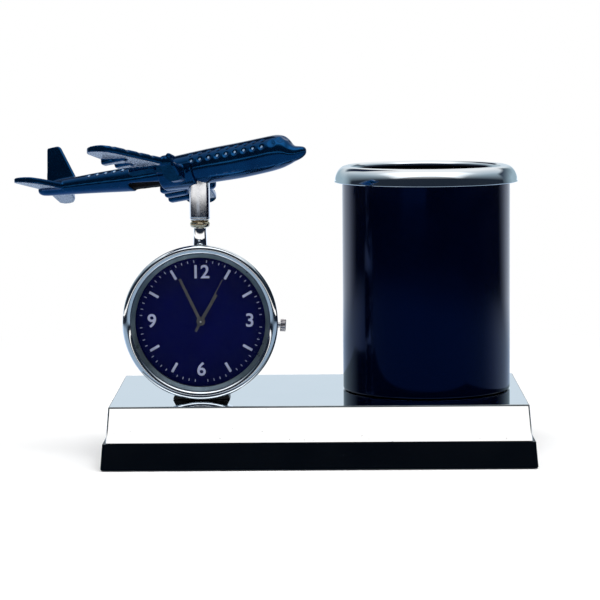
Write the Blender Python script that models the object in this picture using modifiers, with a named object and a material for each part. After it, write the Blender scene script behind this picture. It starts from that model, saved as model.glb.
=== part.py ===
"""Desk set: a round quartz clock under a model airliner and a pen tumbler on one base. Metres, +Z up."""

import math

import bmesh
import bpy
from mathutils import Matrix

# Clearances and cuts
GAP = 0.0003
RUNNING_GAP = 0.00005
SLIDING_GAP = 0.0001
OVERRUN = 0.0010
MERGE_DISTANCE = 0.00001

# Facets
LARGE_ROUND = 40
MEDIUM_ROUND = 24
SMALL_ROUND = 16
SCREW_ROUND = 12
ROLL_STEPS = 7
EDGE_STEPS = 2
NUT_SIDES = 6
FULL_TURN = 2 * math.pi
HALF_TURN = math.pi
QUARTER_TURN = math.pi / 2
SHARP_ANGLE = math.radians(35)

# Plinth, board and pad
PLINTH_LENGTH = 0.1890
PLINTH_DEPTH = 0.1063
PLINTH_HEIGHT = 0.0115
PLINTH_DRAFT = 0.0004
PLINTH_EDGE = 0.0009
PAD_THICKNESS = 0.0010
PAD_PROUD = 0.0003
PAD_MARGIN = 0.0045
BOARD_EDGE = 0.0006

# Bright cover over the board
COVER_END_INSET = 0.0024
COVER_SIDE_INSET = 0.00235
COVER_HEIGHT = 0.01555
COVER_TAPER = 0.0013
COVER_SHEET = 0.0006
COVER_EDGE = 0.0007

# Fasteners under the base
BOLT_RADIUS = 0.0015
BOLT_HEAD_RADIUS = 0.0028
BOLT_HEAD_HEIGHT = 0.0018
BOLT_CLEARANCE = 0.0002
BOLT_END_PROUD = 0.0006
NUT_ACROSS_FLATS = 0.0055
NUT_HEIGHT = 0.0024
WASHER_RADIUS = 0.0045
WASHER_THICKNESS = 0.0005
BOARD_SCREW_RADIUS = 0.0012
BOARD_SCREW_HEAD_RADIUS = 0.0024
BOARD_SCREW_HEAD_HEIGHT = 0.0014
BOARD_SCREW_LENGTH = 0.0180
BOARD_SCREW_INSET_X = 0.0140
BOARD_SCREW_INSET_Y = 0.0125

# Pen tumbler
CUP_END_DISTANCE = 0.0459
CUP_Y = 0.0033
CUP_RADIUS = 0.0375
CUP_WALL = 0.0007
CUP_FLOOR = 0.0009
CUP_HEIGHT = 0.0960
CUP_BASE_EDGE = 0.0014
CUP_FLOOR_EDGE = 0.0008

# Rolled ring on the tumbler
RIM_RADIUS = 0.0411
RIM_INNER_RADIUS = 0.0329
RIM_HEIGHT = 0.0066
RIM_BELLY = 0.0026
RIM_DROP = 0.0030
RIM_FOOT_WIDTH = 0.0050

# Clock, with depths counted back from the plane of the ring's widest circle
CLOCK_END_DISTANCE = 0.0430
CLOCK_FRONT_DISTANCE = 0.02215
BEZEL_RADIUS = 0.0340
BEZEL_ROLL = 0.00195
BEZEL_ROLL_SWEEP = math.radians(150)
BEZEL_OVERHANG = 0.0014
BEZEL_LIP = 0.0005
BEZEL_LIP_DEPTH = 0.0001
BEZEL_BACK = 0.0022
BEZEL_SKIRT = 0.0006
BEZEL_SKIRT_DEPTH = 0.0008
BEZEL_GROUND_GAP = 0.0003
CRYSTAL_THICKNESS = 0.0015
CRYSTAL_OVERLAP = 0.00125
GASKET_WIDTH = 0.0009
GASKET_THICKNESS = 0.0013
CASE_WALL = 0.0033
CASE_DEPTH = 0.0115
CASE_EDGE = 0.0006
SPACER_HEIGHT = 0.00245
SPACER_WIDTH = 0.0022
DIAL_THICKNESS = 0.0004
DIAL_CLEARANCE = 0.0004
DIAL_HOLE = 0.00135
HOLDER_THICKNESS = 0.0048
HOLDER_HOLE_RADIUS = 0.0050
HOLDER_HOLE_INSET = 0.0095
HOLDER_HOLES = 4
MOVEMENT_WIDTH = 0.0170
MOVEMENT_HEIGHT = 0.0150
MOVEMENT_THICKNESS = 0.0042
MOVEMENT_EDGE = 0.0015
MOVEMENT_TURN = math.radians(3.8)
CELL_RADIUS = 0.0034
CELL_HEIGHT = 0.0019
CELL_X = -0.0039
CELL_DROP = 0.0032
STRAP_LENGTH = 0.0120
STRAP_WIDTH = 0.0026
STRAP_THICKNESS = 0.0003
BACK_FLANGE_WIDTH = 0.0010
BACK_FLANGE_THICKNESS = 0.0009
BACK_DOME = 0.0006
BACK_DOME_SLOPE = 0.0024
BACK_RIM_WALL = 0.0010
BACK_NOTCH_RADIUS = 0.0012

# Hands and the pipes that carry them
HOUR_PIPE_RADIUS = 0.00120
MINUTE_PIPE_RADIUS = 0.00080
SECOND_PIN_RADIUS = 0.00040
PIPE_DEPTH_IN_MOVEMENT = 0.0024
PIPE_PROUD = 0.0001
HOUR_HAND_LENGTH = 0.0136
MINUTE_HAND_LENGTH = 0.0209
SECOND_HAND_LENGTH = 0.0209
SECOND_TAIL_LENGTH = 0.0049
HOUR_HUB_RADIUS = 0.0019
MINUTE_HUB_RADIUS = 0.00165
SECOND_HUB_RADIUS = 0.0011
HOUR_HAND_WIDTH = 0.0012
MINUTE_HAND_WIDTH = 0.0011
SECOND_HAND_WIDTH = 0.0004
HOUR_HAND_THICKNESS = 0.0003
MINUTE_HAND_THICKNESS = 0.0003
SECOND_HAND_THICKNESS = 0.0002
HAND_SPACING = 0.0004
HOUR_HAND_ANGLE = math.radians(30.8)
MINUTE_HAND_ANGLE = math.radians(-25.6)
SECOND_HAND_ANGLE = math.radians(27.7)

# Setting crown
CROWN_RADIUS = 0.0027
CROWN_LENGTH = 0.0026
CROWN_STANDOFF = 0.0049
CROWN_FLUTES = 18
CROWN_FLUTE_DEPTH = 0.00025
STEM_RADIUS = 0.0006
STEM_INNER_END = 0.0035
STEM_BOSS_RADIUS = 0.0013
STEM_COLLAR_RADIUS = 0.0010
STEM_COLLAR_WIDTH = 0.0008
STEM_GROOVE_WIDTH = 0.0007
LEVER_WIDTH = 0.0022
LEVER_THICKNESS = 0.0004
LEVER_REACH = 0.0010
CROWN_PULL = 0.0009

# Saddle foot and post
FOOT_WIDTH = 0.0250
FOOT_DEPTH = 0.0105
FOOT_FLARE = 0.0006
POST_SPIGOT_RADIUS = 0.00145
POST_SPIGOT_LENGTH = 0.0024
POST_BASE_RADIUS = 0.0029
POST_TOP_RADIUS = 0.0025
POST_HEIGHT = 0.0079
POST_JOURNAL_RADIUS = 0.0019
POST_JOURNAL_LENGTH = 0.0172
POST_GROOVE_RADIUS = 0.0013
POST_GROOVE_WIDTH = 0.0016
POST_GROOVE_RISE = 0.0078
COLLAR_RADIUS = 0.00435
COLLAR_HEIGHT = 0.0033
COLLAR_EDGE = 0.0004
SLEEVE_RADIUS = 0.00445
SLEEVE_LENGTH = 0.0184
SLEEVE_TOP_WALL = 0.0030
SLEEVE_EDGE = 0.0003
GRUB_RADIUS = 0.0009
GRUB_TIP_RADIUS = 0.0005
PLANE_SCREW_RADIUS = 0.0009
PLANE_SCREW_HEAD_RADIUS = 0.0016
PLANE_SCREW_HEAD_HEIGHT = 0.0014
PLANE_SCREW_LENGTH = 0.0062

# Airliner, in its own frame: nose along +X, port side +Y, origin on the post's axis
PLANE_LIFT = 0.0346
PLANE_YAW = math.radians(-23.7)
PLANE_PITCH = math.radians(10.4)
PLANE_BANK = math.radians(17.2)
NOSE_REACH = 0.0518
TAIL_REACH = 0.0820
FUSELAGE_RADIUS = 0.0077
SADDLE_FRONT = 0.0030
SADDLE_REAR = 0.0225
SADDLE_WALL = 0.0009
SADDLE_TOP = 0.0006
WING_HALF_SPAN = 0.0520
WING_ROOT_INSET = 0.0020
WING_DROP = 0.0017
WING_DIHEDRAL = math.radians(2.7)
WING_ROOT_FRONT = 0.0032
WING_ROOT_REAR = 0.0240
WING_TIP_FRONT = 0.0170
WING_TIP_REAR = 0.0243
WING_ROOT_THICKNESS = 0.0038
WING_TIP_THICKNESS = 0.0030
POD_LENGTH = 0.0118
POD_RADIUS = 0.0021
POD_SINK = 0.0002
INNER_POD_REAR = 0.0174
INNER_POD_OUT = 0.0192
MIDDLE_POD_REAR = 0.0218
MIDDLE_POD_OUT = 0.0278
MIDDLE_POD_LENGTH = 0.0080
MIDDLE_POD_RADIUS = 0.0016
OUTER_POD_REAR = 0.0215
OUTER_POD_OUT = 0.0368
STABILISER_HALF_SPAN = 0.0215
STABILISER_LIFT = 0.0022
STABILISER_ROOT_FRONT = 0.0640
STABILISER_ROOT_REAR = 0.0785
STABILISER_TIP_FRONT = 0.0778
STABILISER_TIP_REAR = 0.0843
STABILISER_THICKNESS = 0.0018
STABILISER_TIP_THICKNESS = 0.0012
STABILISER_ROOT_INSET = 0.0010
FIN_HEIGHT = 0.0222
FIN_ROOT_FRONT = 0.0625
FIN_ROOT_REAR = 0.0785
FIN_TOP_FRONT = 0.0702
FIN_TOP_REAR = 0.0765
FIN_THICKNESS = 0.0018
FIN_TOP_THICKNESS = 0.0012

# Fuselage stations from nose to tail: place along the reach, then top and bottom as shares of the radius
NOSE_STATION_SHARES = (
    (1.000, -0.06, -0.30),
    (0.985, 0.04, -0.44),
    (0.950, 0.11, -0.58),
    (0.910, 0.18, -0.66),
    (0.880, 0.36, -0.70),
    (0.850, 0.65, -0.76),
    (0.815, 0.86, -0.82),
    (0.765, 0.97, -0.90),
    (0.710, 0.99, -0.95),
    (0.620, 0.98, -1.00),
    (0.390, 0.95, -1.05),
    (0.170, 0.95, -1.02),
)
TAIL_STATION_SHARES = (
    (0.100, 0.89, -0.93),
    (0.380, 0.77, -0.71),
    (0.610, 0.79, -0.42),
    (0.770, 0.79, -0.22),
    (0.870, 0.77, -0.11),
    (0.960, 0.69, 0.01),
    (0.990, 0.60, 0.12),
    (1.000, 0.48, 0.24),
)
# Wing section, as shares of the chord behind the leading edge and of half the thickness
WING_SECTION_SHARES = (
    (0.00, 0.00),
    (0.02, 0.70),
    (0.10, 1.00),
    (0.35, 0.95),
    (0.70, 0.55),
    (1.00, 0.12),
    (1.00, -0.12),
    (0.70, -0.40),
    (0.35, -0.60),
    (0.10, -0.80),
    (0.02, -0.60),
)
# Wing stations, as shares of the way from root to tip, with the chord and thickness kept there
WING_STATION_SHARES = (
    (0.00, 1.00, 1.00),
    (0.50, 1.00, 1.00),
    (0.93, 1.00, 1.00),
    (0.985, 0.80, 0.75),
    (1.00, 0.50, 0.35),
)
# Pod profile, as shares of the length behind the nose and of the radius
POD_PROFILE_SHARES = ((0.00, 0.30), (0.04, 0.70), (0.14, 1.00), (0.70, 1.00), (0.92, 0.72), (1.00, 0.40))
# Fittings along the wing's leading edge, as shares of the way from root to tip
SLAT_FITTING_SHARES = (0.34, 0.50, 0.66, 0.82)
SLAT_FITTING_LENGTH = 0.0030
SLAT_FITTING_RADIUS = 0.0009
FUSELAGE_SIDES = 20
POD_SIDES = 8
FITTING_SIDES = 6

# Levels worked out from the sizes above
COVER_LENGTH = PLINTH_LENGTH - 2 * COVER_END_INSET
COVER_DEPTH = PLINTH_DEPTH - 2 * COVER_SIDE_INSET
CUP_X = PLINTH_LENGTH / 2 - CUP_END_DISTANCE
CLOCK_X = CLOCK_END_DISTANCE - PLINTH_LENGTH / 2
CLOCK_Y = CLOCK_FRONT_DISTANCE - PLINTH_DEPTH / 2
PLINTH_BOTTOM = PAD_PROUD
PLINTH_TOP = PLINTH_BOTTOM + PLINTH_HEIGHT
PAD_RECESS_TOP = PAD_THICKNESS + GAP
COVER_BOTTOM = PLINTH_TOP + GAP
COVER_TOP = COVER_BOTTOM + COVER_HEIGHT
BOARD_TOP = COVER_TOP - COVER_SHEET - GAP
CUP_BOTTOM = COVER_TOP + GAP
CUP_FLOOR_TOP = CUP_BOTTOM + CUP_FLOOR
CUP_TOP = CUP_BOTTOM + CUP_HEIGHT
RIM_BOTTOM = CUP_TOP - RIM_DROP
CLOCK_Z = COVER_TOP + BEZEL_GROUND_GAP + BEZEL_RADIUS
CASE_RADIUS = BEZEL_RADIUS - BEZEL_OVERHANG
CASE_BORE = CASE_RADIUS - CASE_WALL
BEZEL_SEAT = BEZEL_LIP_DEPTH + BEZEL_LIP
GASKET_FRONT = BEZEL_SEAT + GAP
CRYSTAL_BACK = GASKET_FRONT + CRYSTAL_THICKNESS
BEZEL_SKIRT_OUTER = CASE_RADIUS - 2 * BEZEL_SKIRT + GAP
BEZEL_SKIRT_INNER = BEZEL_SKIRT_OUTER - BEZEL_SKIRT
CRYSTAL_RADIUS = BEZEL_SKIRT_INNER - 2 * SLIDING_GAP - GASKET_WIDTH
BEZEL_OPENING = CRYSTAL_RADIUS - CRYSTAL_OVERLAP
CASE_FRONT = BEZEL_BACK + GAP
CASE_BACK = CASE_FRONT + CASE_DEPTH
CASE_FRONT_BORE = BEZEL_SKIRT_OUTER + RUNNING_GAP
SPACER_RADIUS = BEZEL_SKIRT_INNER - SLIDING_GAP
SPACER_OPENING = SPACER_RADIUS - SPACER_WIDTH
DIAL_RADIUS = CASE_FRONT_BORE - DIAL_CLEARANCE
HOLDER_RADIUS = CASE_BORE - GAP
BACK_FLANGE_RADIUS = CASE_BORE + BACK_FLANGE_WIDTH
CROWN_OUTREACH = CASE_RADIUS + CROWN_STANDOFF
SPACER_FRONT = CRYSTAL_BACK + GAP
SPACER_BACK = SPACER_FRONT + SPACER_HEIGHT
DIAL_FRONT = SPACER_BACK + GAP
DIAL_BACK = DIAL_FRONT + DIAL_THICKNESS
CASE_SHOULDER = DIAL_BACK + GAP
HOLDER_FRONT = CASE_SHOULDER
HOLDER_BACK = HOLDER_FRONT + HOLDER_THICKNESS
MOVEMENT_FRONT = HOLDER_FRONT + GAP
MOVEMENT_BACK = MOVEMENT_FRONT + MOVEMENT_THICKNESS
PIPE_BACK = MOVEMENT_FRONT + PIPE_DEPTH_IN_MOVEMENT
STEM_DEPTH = MOVEMENT_FRONT + MOVEMENT_THICKNESS / 2
BACK_RIM_FRONT = HOLDER_BACK + GAP
BACK_SEAT = CASE_BACK - BACK_FLANGE_THICKNESS - GAP
BACK_FLANGE_FRONT = CASE_BACK - BACK_FLANGE_THICKNESS
HOUR_HAND_FRONT = DIAL_FRONT - 2 * HAND_SPACING - HOUR_HAND_THICKNESS
MINUTE_HAND_FRONT = HOUR_HAND_FRONT - HAND_SPACING - MINUTE_HAND_THICKNESS
SECOND_HAND_FRONT = MINUTE_HAND_FRONT - HAND_SPACING - SECOND_HAND_THICKNESS
CASE_MIDDLE = (CASE_FRONT + CASE_BACK) / 2
POST_Y = CLOCK_Y + CASE_MIDDLE
POST_BOTTOM = CLOCK_Z + CASE_RADIUS + GAP
COLLAR_BOTTOM = POST_BOTTOM + POST_HEIGHT + GAP
SLEEVE_BOTTOM = COLLAR_BOTTOM + COLLAR_HEIGHT + GAP
SLEEVE_TOP = SLEEVE_BOTTOM + SLEEVE_LENGTH
SLEEVE_BORE_TOP = SLEEVE_TOP - SLEEVE_TOP_WALL
GRUB_HEIGHT = COLLAR_BOTTOM + POST_GROOVE_RISE + POST_GROOVE_WIDTH / 2
PLANE_Z = POST_BOTTOM + PLANE_LIFT
PLANE_SCREW_HEAD_TOP = SLEEVE_BORE_TOP - GAP
PLANE_SCREW_TOP = PLANE_SCREW_HEAD_TOP + PLANE_SCREW_LENGTH

# Finishes: colour, roughness, metallic
FINISHES = {
    "gloss_black": ((0.006, 0.006, 0.008), 0.12, 0.0),
    "chrome": ((0.82, 0.84, 0.86), 0.05, 1.0),
    "board": ((0.42, 0.30, 0.18), 0.80, 0.0),
    "felt": ((0.020, 0.020, 0.022), 0.95, 0.0),
    "steel": ((0.55, 0.55, 0.56), 0.30, 1.0),
    "navy_enamel": ((0.002, 0.006, 0.050), 0.08, 0.0),
    "black_plastic": ((0.012, 0.012, 0.014), 0.35, 0.0),
    "rubber": ((0.030, 0.030, 0.030), 0.80, 0.0),
    "crystal": ((0.90, 0.95, 0.95), 0.02, 0.0),
    "dial_navy": ((0.002, 0.006, 0.105), 0.18, 0.0),
    "white_plastic": ((0.75, 0.75, 0.72), 0.45, 0.0),
    "movement_metal": ((0.62, 0.55, 0.38), 0.35, 1.0),
    "hand_grey": ((0.25, 0.25, 0.26), 0.35, 1.0),
    "brass": ((0.70, 0.50, 0.22), 0.25, 1.0),
    "airliner_blue": ((0.004, 0.022, 0.085), 0.22, 0.0),
}


def clear_scene():
    """Remove whatever the scene holds."""
    for item in list(bpy.data.objects):
        bpy.data.objects.remove(item, do_unlink=True)


def make_collection(name):
    """Add a collection to the scene."""
    collection = bpy.data.collections.new(name)
    bpy.context.scene.collection.children.link(collection)
    return collection


def make_material(name):
    """Return the named finish as a Principled material."""
    material = bpy.data.materials.get(name)
    if material is None:
        colour, roughness, metallic = FINISHES[name]
        material = bpy.data.materials.new(name)
        material.use_nodes = True
        shader = material.node_tree.nodes["Principled BSDF"]
        shader.inputs["Base Color"].default_value = (*colour, 1.0)
        shader.inputs["Roughness"].default_value = roughness
        shader.inputs["Metallic"].default_value = metallic
    return material


clear_scene()
PARTS = make_collection("pen_holder_clock")
CUTTERS = make_collection("cutters")


def add_object(name, mesh, finish, parent):
    """Link a finished part, carried by its parent."""
    part = bpy.data.objects.new(name, mesh)
    PARTS.objects.link(part)
    part.parent = parent
    mesh.materials.append(make_material(finish))
    return part


def add_helper(name, mesh, parent):
    """Link a wire-display shape that cuts or joins a part."""
    helper = bpy.data.objects.new(name, mesh)
    CUTTERS.objects.link(helper)
    helper.parent = parent
    helper.hide_render = True
    helper.display_type = "WIRE"
    return helper


def add_frame(name, location, rotation=(0, 0, 0), parent=None):
    """Add an empty that carries the parts of one assembly."""
    frame = bpy.data.objects.new(name, None)
    PARTS.objects.link(frame)
    frame.parent = parent
    frame.location = location
    frame.rotation_euler = rotation
    return frame


def boolean(part, helper, operation):
    """Cut a part with a helper, or join the helper to it."""
    modifier = part.modifiers.new(helper.name, "BOOLEAN")
    modifier.operation = operation
    modifier.solver = "EXACT"
    modifier.object = helper


def smooth(mesh):
    """Shade round sides smooth and leave real edges sharp."""
    mesh.shade_smooth()
    mesh.set_sharp_from_angle(angle=SHARP_ANGLE)


def add_bevel(part, width, steps=EDGE_STEPS):
    """Round a part's edges."""
    modifier = part.modifiers.new("edges", "BEVEL")
    modifier.width = width
    modifier.segments = steps
    modifier.limit_method = "ANGLE"
    modifier.angle_limit = SHARP_ANGLE
    return modifier


def mesh_from(builder, name):
    """Run a bmesh builder and return its mesh."""
    shape = bmesh.new()
    builder(shape)
    bmesh.ops.recalc_face_normals(shape, faces=shape.faces)
    mesh = bpy.data.meshes.new(name)
    shape.to_mesh(mesh)
    shape.free()
    smooth(mesh)
    return mesh


def block_mesh(name, size, taper=0.0):
    """A block that stands on the origin and narrows by taper on each side at its top."""
    length, depth, height = size

    def build(shape):
        bmesh.ops.create_cube(shape, size=1.0)
        for vert in shape.verts:
            narrowing = taper if vert.co.z > 0 else 0.0
            side = math.copysign(1, vert.co.x)
            face = math.copysign(1, vert.co.y)
            vert.co.x = side * (length / 2 - narrowing)
            vert.co.y = face * (depth / 2 - narrowing)
            vert.co.z = height if vert.co.z > 0 else 0.0

    return mesh_from(build, name)


def cylinder_mesh(name, radius, length, sides=SMALL_ROUND):
    """A cylinder that stands on the origin."""

    def build(shape):
        place = Matrix.Translation((0, 0, length / 2))
        bmesh.ops.create_cone(shape, cap_ends=True, segments=sides, radius1=radius, radius2=radius,
                              depth=length, matrix=place)

    return mesh_from(build, name)


def drill(part, name, radius, length, location, parent, rotation=(0, 0, 0), sides=SMALL_ROUND):
    """Cut a round hole that starts at location and runs along the helper's +Z."""
    helper = add_helper(name, cylinder_mesh(name, radius, length, sides), parent)
    helper.location = location
    helper.rotation_euler = rotation
    boolean(part, helper, "DIFFERENCE")


def arc(centre_radius, centre_height, radius, start, end, steps):
    """Points of an arc in a turned profile, measured from the outward direction."""
    turn = (end - start) / steps
    return [(centre_radius + radius * math.cos(start + step * turn),
             centre_height + radius * math.sin(start + step * turn)) for step in range(steps + 1)]


def turned_mesh(name, outline):
    """A profile of (radius, height) points, ordered so that its outer side runs downwards."""
    points = list(outline)
    area = sum(a[0] * b[1] - b[0] * a[1] for a, b in zip(points, points[1:] + points[:1]))
    if area > 0:
        points.reverse()
    touches_axis = min(point[0] for point in points) <= MERGE_DISTANCE
    while touches_axis and not (points[0][0] <= MERGE_DISTANCE and points[-1][0] <= MERGE_DISTANCE):
        points.append(points.pop(0))
    edges = [(index, index + 1) for index in range(len(points) - 1)]
    if not touches_axis:
        edges.append((len(points) - 1, 0))
    mesh = bpy.data.meshes.new(name)
    mesh.from_pydata([(radius, 0, height) for radius, height in points], edges, [])
    return mesh


def turn(part, sides):
    """Sweep a profile round its Z axis."""
    modifier = part.modifiers.new("turn", "SCREW")
    modifier.axis = "Z"
    modifier.angle = FULL_TURN
    modifier.steps = sides
    modifier.render_steps = sides
    modifier.use_merge_vertices = True
    modifier.merge_threshold = MERGE_DISTANCE
    modifier.use_smooth_shade = True
    return modifier


def add_turned(name, outline, finish, parent, sides=LARGE_ROUND):
    """A turned part."""
    part = add_object(name, turned_mesh(name, outline), finish, parent)
    turn(part, sides)
    return part


def flat_mesh(name, outline, thickness):
    """A sheet of the given thickness from a closed outline."""
    curve = bpy.data.curves.new(name, "CURVE")
    curve.dimensions = "2D"
    curve.fill_mode = "BOTH"
    curve.extrude = thickness / 2
    spline = curve.splines.new("POLY")
    spline.points.add(len(outline) - 1)
    for point, (x, y) in zip(spline.points, outline):
        point.co = (x, y, 0, 1)
    spline.use_cyclic_u = True
    source = bpy.data.objects.new(name, curve)
    bpy.context.scene.collection.objects.link(source)
    graph = bpy.context.evaluated_depsgraph_get()
    mesh = bpy.data.meshes.new_from_object(source.evaluated_get(graph))
    bpy.data.objects.remove(source, do_unlink=True)
    bpy.data.curves.remove(curve)
    shape = bmesh.new()
    shape.from_mesh(mesh)
    bmesh.ops.remove_doubles(shape, verts=shape.verts, dist=MERGE_DISTANCE)
    bmesh.ops.recalc_face_normals(shape, faces=shape.faces)
    shape.to_mesh(mesh)
    shape.free()
    mesh.materials.clear()
    return mesh


def add_plinth(base):
    """Black moulded plinth with a recess for the pad and counterbored holes."""
    size = (PLINTH_LENGTH, PLINTH_DEPTH, PLINTH_HEIGHT)
    plinth = add_object("plinth", block_mesh("plinth", size, PLINTH_DRAFT), "gloss_black", base)
    plinth.location.z = PLINTH_BOTTOM
    add_bevel(plinth, PLINTH_EDGE)
    recess_size = (PLINTH_LENGTH - 2 * PAD_MARGIN, PLINTH_DEPTH - 2 * PAD_MARGIN,
                   PAD_RECESS_TOP - PLINTH_BOTTOM + OVERRUN)
    recess = add_helper("plinth_recess", block_mesh("plinth_recess", recess_size), base)
    recess.location.z = PLINTH_BOTTOM - OVERRUN
    boolean(plinth, recess, "DIFFERENCE")
    for name, place in bolt_places().items():
        head_depth = GAP + BOLT_HEAD_HEIGHT + GAP
        drill(plinth, name + "_plinth_hole", BOLT_RADIUS + BOLT_CLEARANCE, PLINTH_HEIGHT + OVERRUN,
              (*place, PAD_RECESS_TOP), base, sides=SCREW_ROUND)
        drill(plinth, name + "_plinth_counterbore", BOLT_HEAD_RADIUS + GAP, head_depth + OVERRUN,
              (*place, PAD_RECESS_TOP - OVERRUN), base, sides=SCREW_ROUND)
    for name, place in board_screw_places().items():
        head_depth = GAP + BOARD_SCREW_HEAD_HEIGHT + GAP
        drill(plinth, name + "_plinth_hole", BOARD_SCREW_RADIUS + BOLT_CLEARANCE, PLINTH_HEIGHT + OVERRUN,
              (*place, PAD_RECESS_TOP), base, sides=SCREW_ROUND)
        drill(plinth, name + "_plinth_counterbore", BOARD_SCREW_HEAD_RADIUS + GAP, head_depth + OVERRUN,
              (*place, PAD_RECESS_TOP - OVERRUN), base, sides=SCREW_ROUND)


def bolt_places():
    """Where the two long bolts rise through the base."""
    return {"cup_bolt": (CUP_X, CUP_Y), "clock_bolt": (CLOCK_X, POST_Y)}


def board_screw_places():
    """Where the four screws hold the board to the plinth."""
    out = COVER_LENGTH / 2 - BOARD_SCREW_INSET_X
    away = COVER_DEPTH / 2 - BOARD_SCREW_INSET_Y
    return {
        "board_screw_front_left": (-out, -away),
        "board_screw_front_right": (out, -away),
        "board_screw_rear_left": (-out, away),
        "board_screw_rear_right": (out, away),
    }


def add_pad(base):
    """Thin felt pad that the set stands on."""
    inset = PAD_MARGIN + GAP
    size = (PLINTH_LENGTH - 2 * inset, PLINTH_DEPTH - 2 * inset, PAD_THICKNESS)
    add_object("felt_pad", block_mesh("felt_pad", size), "felt", base)


def add_cover(base):
    """Bright sheet cover, folded down on four sides and open below."""
    mesh = block_mesh("base_cover", (COVER_LENGTH, COVER_DEPTH, COVER_HEIGHT), COVER_TAPER)
    shape = bmesh.new()
    shape.from_mesh(mesh)
    floor = [face for face in shape.faces if face.normal.z < -math.cos(SHARP_ANGLE)]
    bmesh.ops.delete(shape, geom=floor, context="FACES")
    shape.to_mesh(mesh)
    shape.free()
    cover = add_object("base_cover", mesh, "chrome", base)
    cover.location.z = COVER_BOTTOM
    add_bevel(cover, COVER_EDGE)
    sheet = cover.modifiers.new("sheet", "SOLIDIFY")
    sheet.thickness = COVER_SHEET
    sheet.offset = -1
    sheet.use_even_offset = True
    for name, place in bolt_places().items():
        drill(cover, name + "_cover_hole", BOLT_RADIUS + BOLT_CLEARANCE, COVER_SHEET + 2 * OVERRUN,
              (*place, COVER_TOP - COVER_SHEET - OVERRUN), base, sides=SCREW_ROUND)


def add_board(base):
    """Board that fills the cover and takes the screws."""
    inset = COVER_SHEET + GAP
    height = BOARD_TOP - COVER_BOTTOM
    slope = COVER_TAPER * height / COVER_HEIGHT
    size = (COVER_LENGTH - 2 * inset, COVER_DEPTH - 2 * inset, height)
    board = add_object("core_board", block_mesh("core_board", size, slope + GAP), "board", base)
    board.location.z = COVER_BOTTOM
    add_bevel(board, BOARD_EDGE, 1)
    for name, place in bolt_places().items():
        drill(board, name + "_board_hole", BOLT_RADIUS + BOLT_CLEARANCE, height + 2 * OVERRUN,
              (*place, COVER_BOTTOM - OVERRUN), base, sides=SCREW_ROUND)
    for name, place in board_screw_places().items():
        reach = board_screw_bottom() + BOARD_SCREW_LENGTH + GAP - COVER_BOTTOM
        drill(board, name + "_board_hole", BOARD_SCREW_RADIUS + RUNNING_GAP, reach + OVERRUN,
              (*place, COVER_BOTTOM - OVERRUN), base, sides=SCREW_ROUND)


def board_screw_bottom():
    """Level of the screw heads' lower faces."""
    return PAD_RECESS_TOP + GAP


def screw_outline(head_radius, head_height, shank_radius, length):
    """Profile of a headed screw with its head down."""
    edge = head_height / 4
    return [(0, 0), (head_radius - edge, 0), (head_radius, edge), (head_radius, head_height),
            (shank_radius, head_height), (shank_radius, length - edge), (shank_radius - edge, length),
            (0, length)]


def add_base_fasteners(base):
    """Board screws, the two long bolts, and the washer and nut inside the tumbler."""
    for name, place in board_screw_places().items():
        outline = screw_outline(BOARD_SCREW_HEAD_RADIUS, BOARD_SCREW_HEAD_HEIGHT, BOARD_SCREW_RADIUS,
                                BOARD_SCREW_LENGTH)
        screw = add_turned(name, outline, "steel", base, SCREW_ROUND)
        screw.location = (*place, board_screw_bottom())
    bolt_bottom = PAD_RECESS_TOP + GAP
    washer_bottom = CUP_FLOOR_TOP + GAP
    nut_bottom = washer_bottom + WASHER_THICKNESS + GAP
    cup_bolt_top = nut_bottom + NUT_HEIGHT + BOLT_END_PROUD
    clock_bolt_top = CLOCK_Z - CASE_BORE - GAP - RUNNING_GAP
    for name, top in (("cup_bolt", cup_bolt_top), ("clock_bolt", clock_bolt_top)):
        outline = screw_outline(BOLT_HEAD_RADIUS, BOLT_HEAD_HEIGHT, BOLT_RADIUS, top - bolt_bottom)
        bolt = add_turned(name, outline, "steel", base, SCREW_ROUND)
        bolt.location = (*bolt_places()[name], bolt_bottom)
    bore = BOLT_RADIUS + BOLT_CLEARANCE
    ring = [(bore, 0), (WASHER_RADIUS, 0), (WASHER_RADIUS, WASHER_THICKNESS), (bore, WASHER_THICKNESS)]
    washer = add_turned("cup_washer", ring, "steel", base, SCREW_ROUND)
    washer.location = (CUP_X, CUP_Y, washer_bottom)
    corner_radius = NUT_ACROSS_FLATS / 2 / math.cos(HALF_TURN / NUT_SIDES)
    nut = add_object("cup_nut", cylinder_mesh("cup_nut", corner_radius, NUT_HEIGHT, NUT_SIDES), "steel", base)
    nut.location = (CUP_X, CUP_Y, nut_bottom)
    drill(nut, "cup_nut_thread", BOLT_RADIUS + RUNNING_GAP, NUT_HEIGHT + 2 * OVERRUN,
          (CUP_X, CUP_Y, nut_bottom - OVERRUN), base, sides=SCREW_ROUND)


def add_cup(base):
    """Drawn tumbler with a rounded foot, and a bolt hole in its floor."""
    hole = BOLT_RADIUS + BOLT_CLEARANCE
    inner = CUP_RADIUS - CUP_WALL
    outline = [(hole, 0)]
    outline += arc(CUP_RADIUS - CUP_BASE_EDGE, CUP_BASE_EDGE, CUP_BASE_EDGE, -QUARTER_TURN, 0, 3)
    outline += [(CUP_RADIUS, CUP_HEIGHT), (inner, CUP_HEIGHT)]
    outline += arc(inner - CUP_FLOOR_EDGE, CUP_FLOOR + CUP_FLOOR_EDGE, CUP_FLOOR_EDGE, 0, -QUARTER_TURN, 2)
    outline += [(hole, CUP_FLOOR)]
    cup = add_turned("cup_shell", outline, "navy_enamel", base)
    cup.location = (CUP_X, CUP_Y, CUP_BOTTOM)


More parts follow.
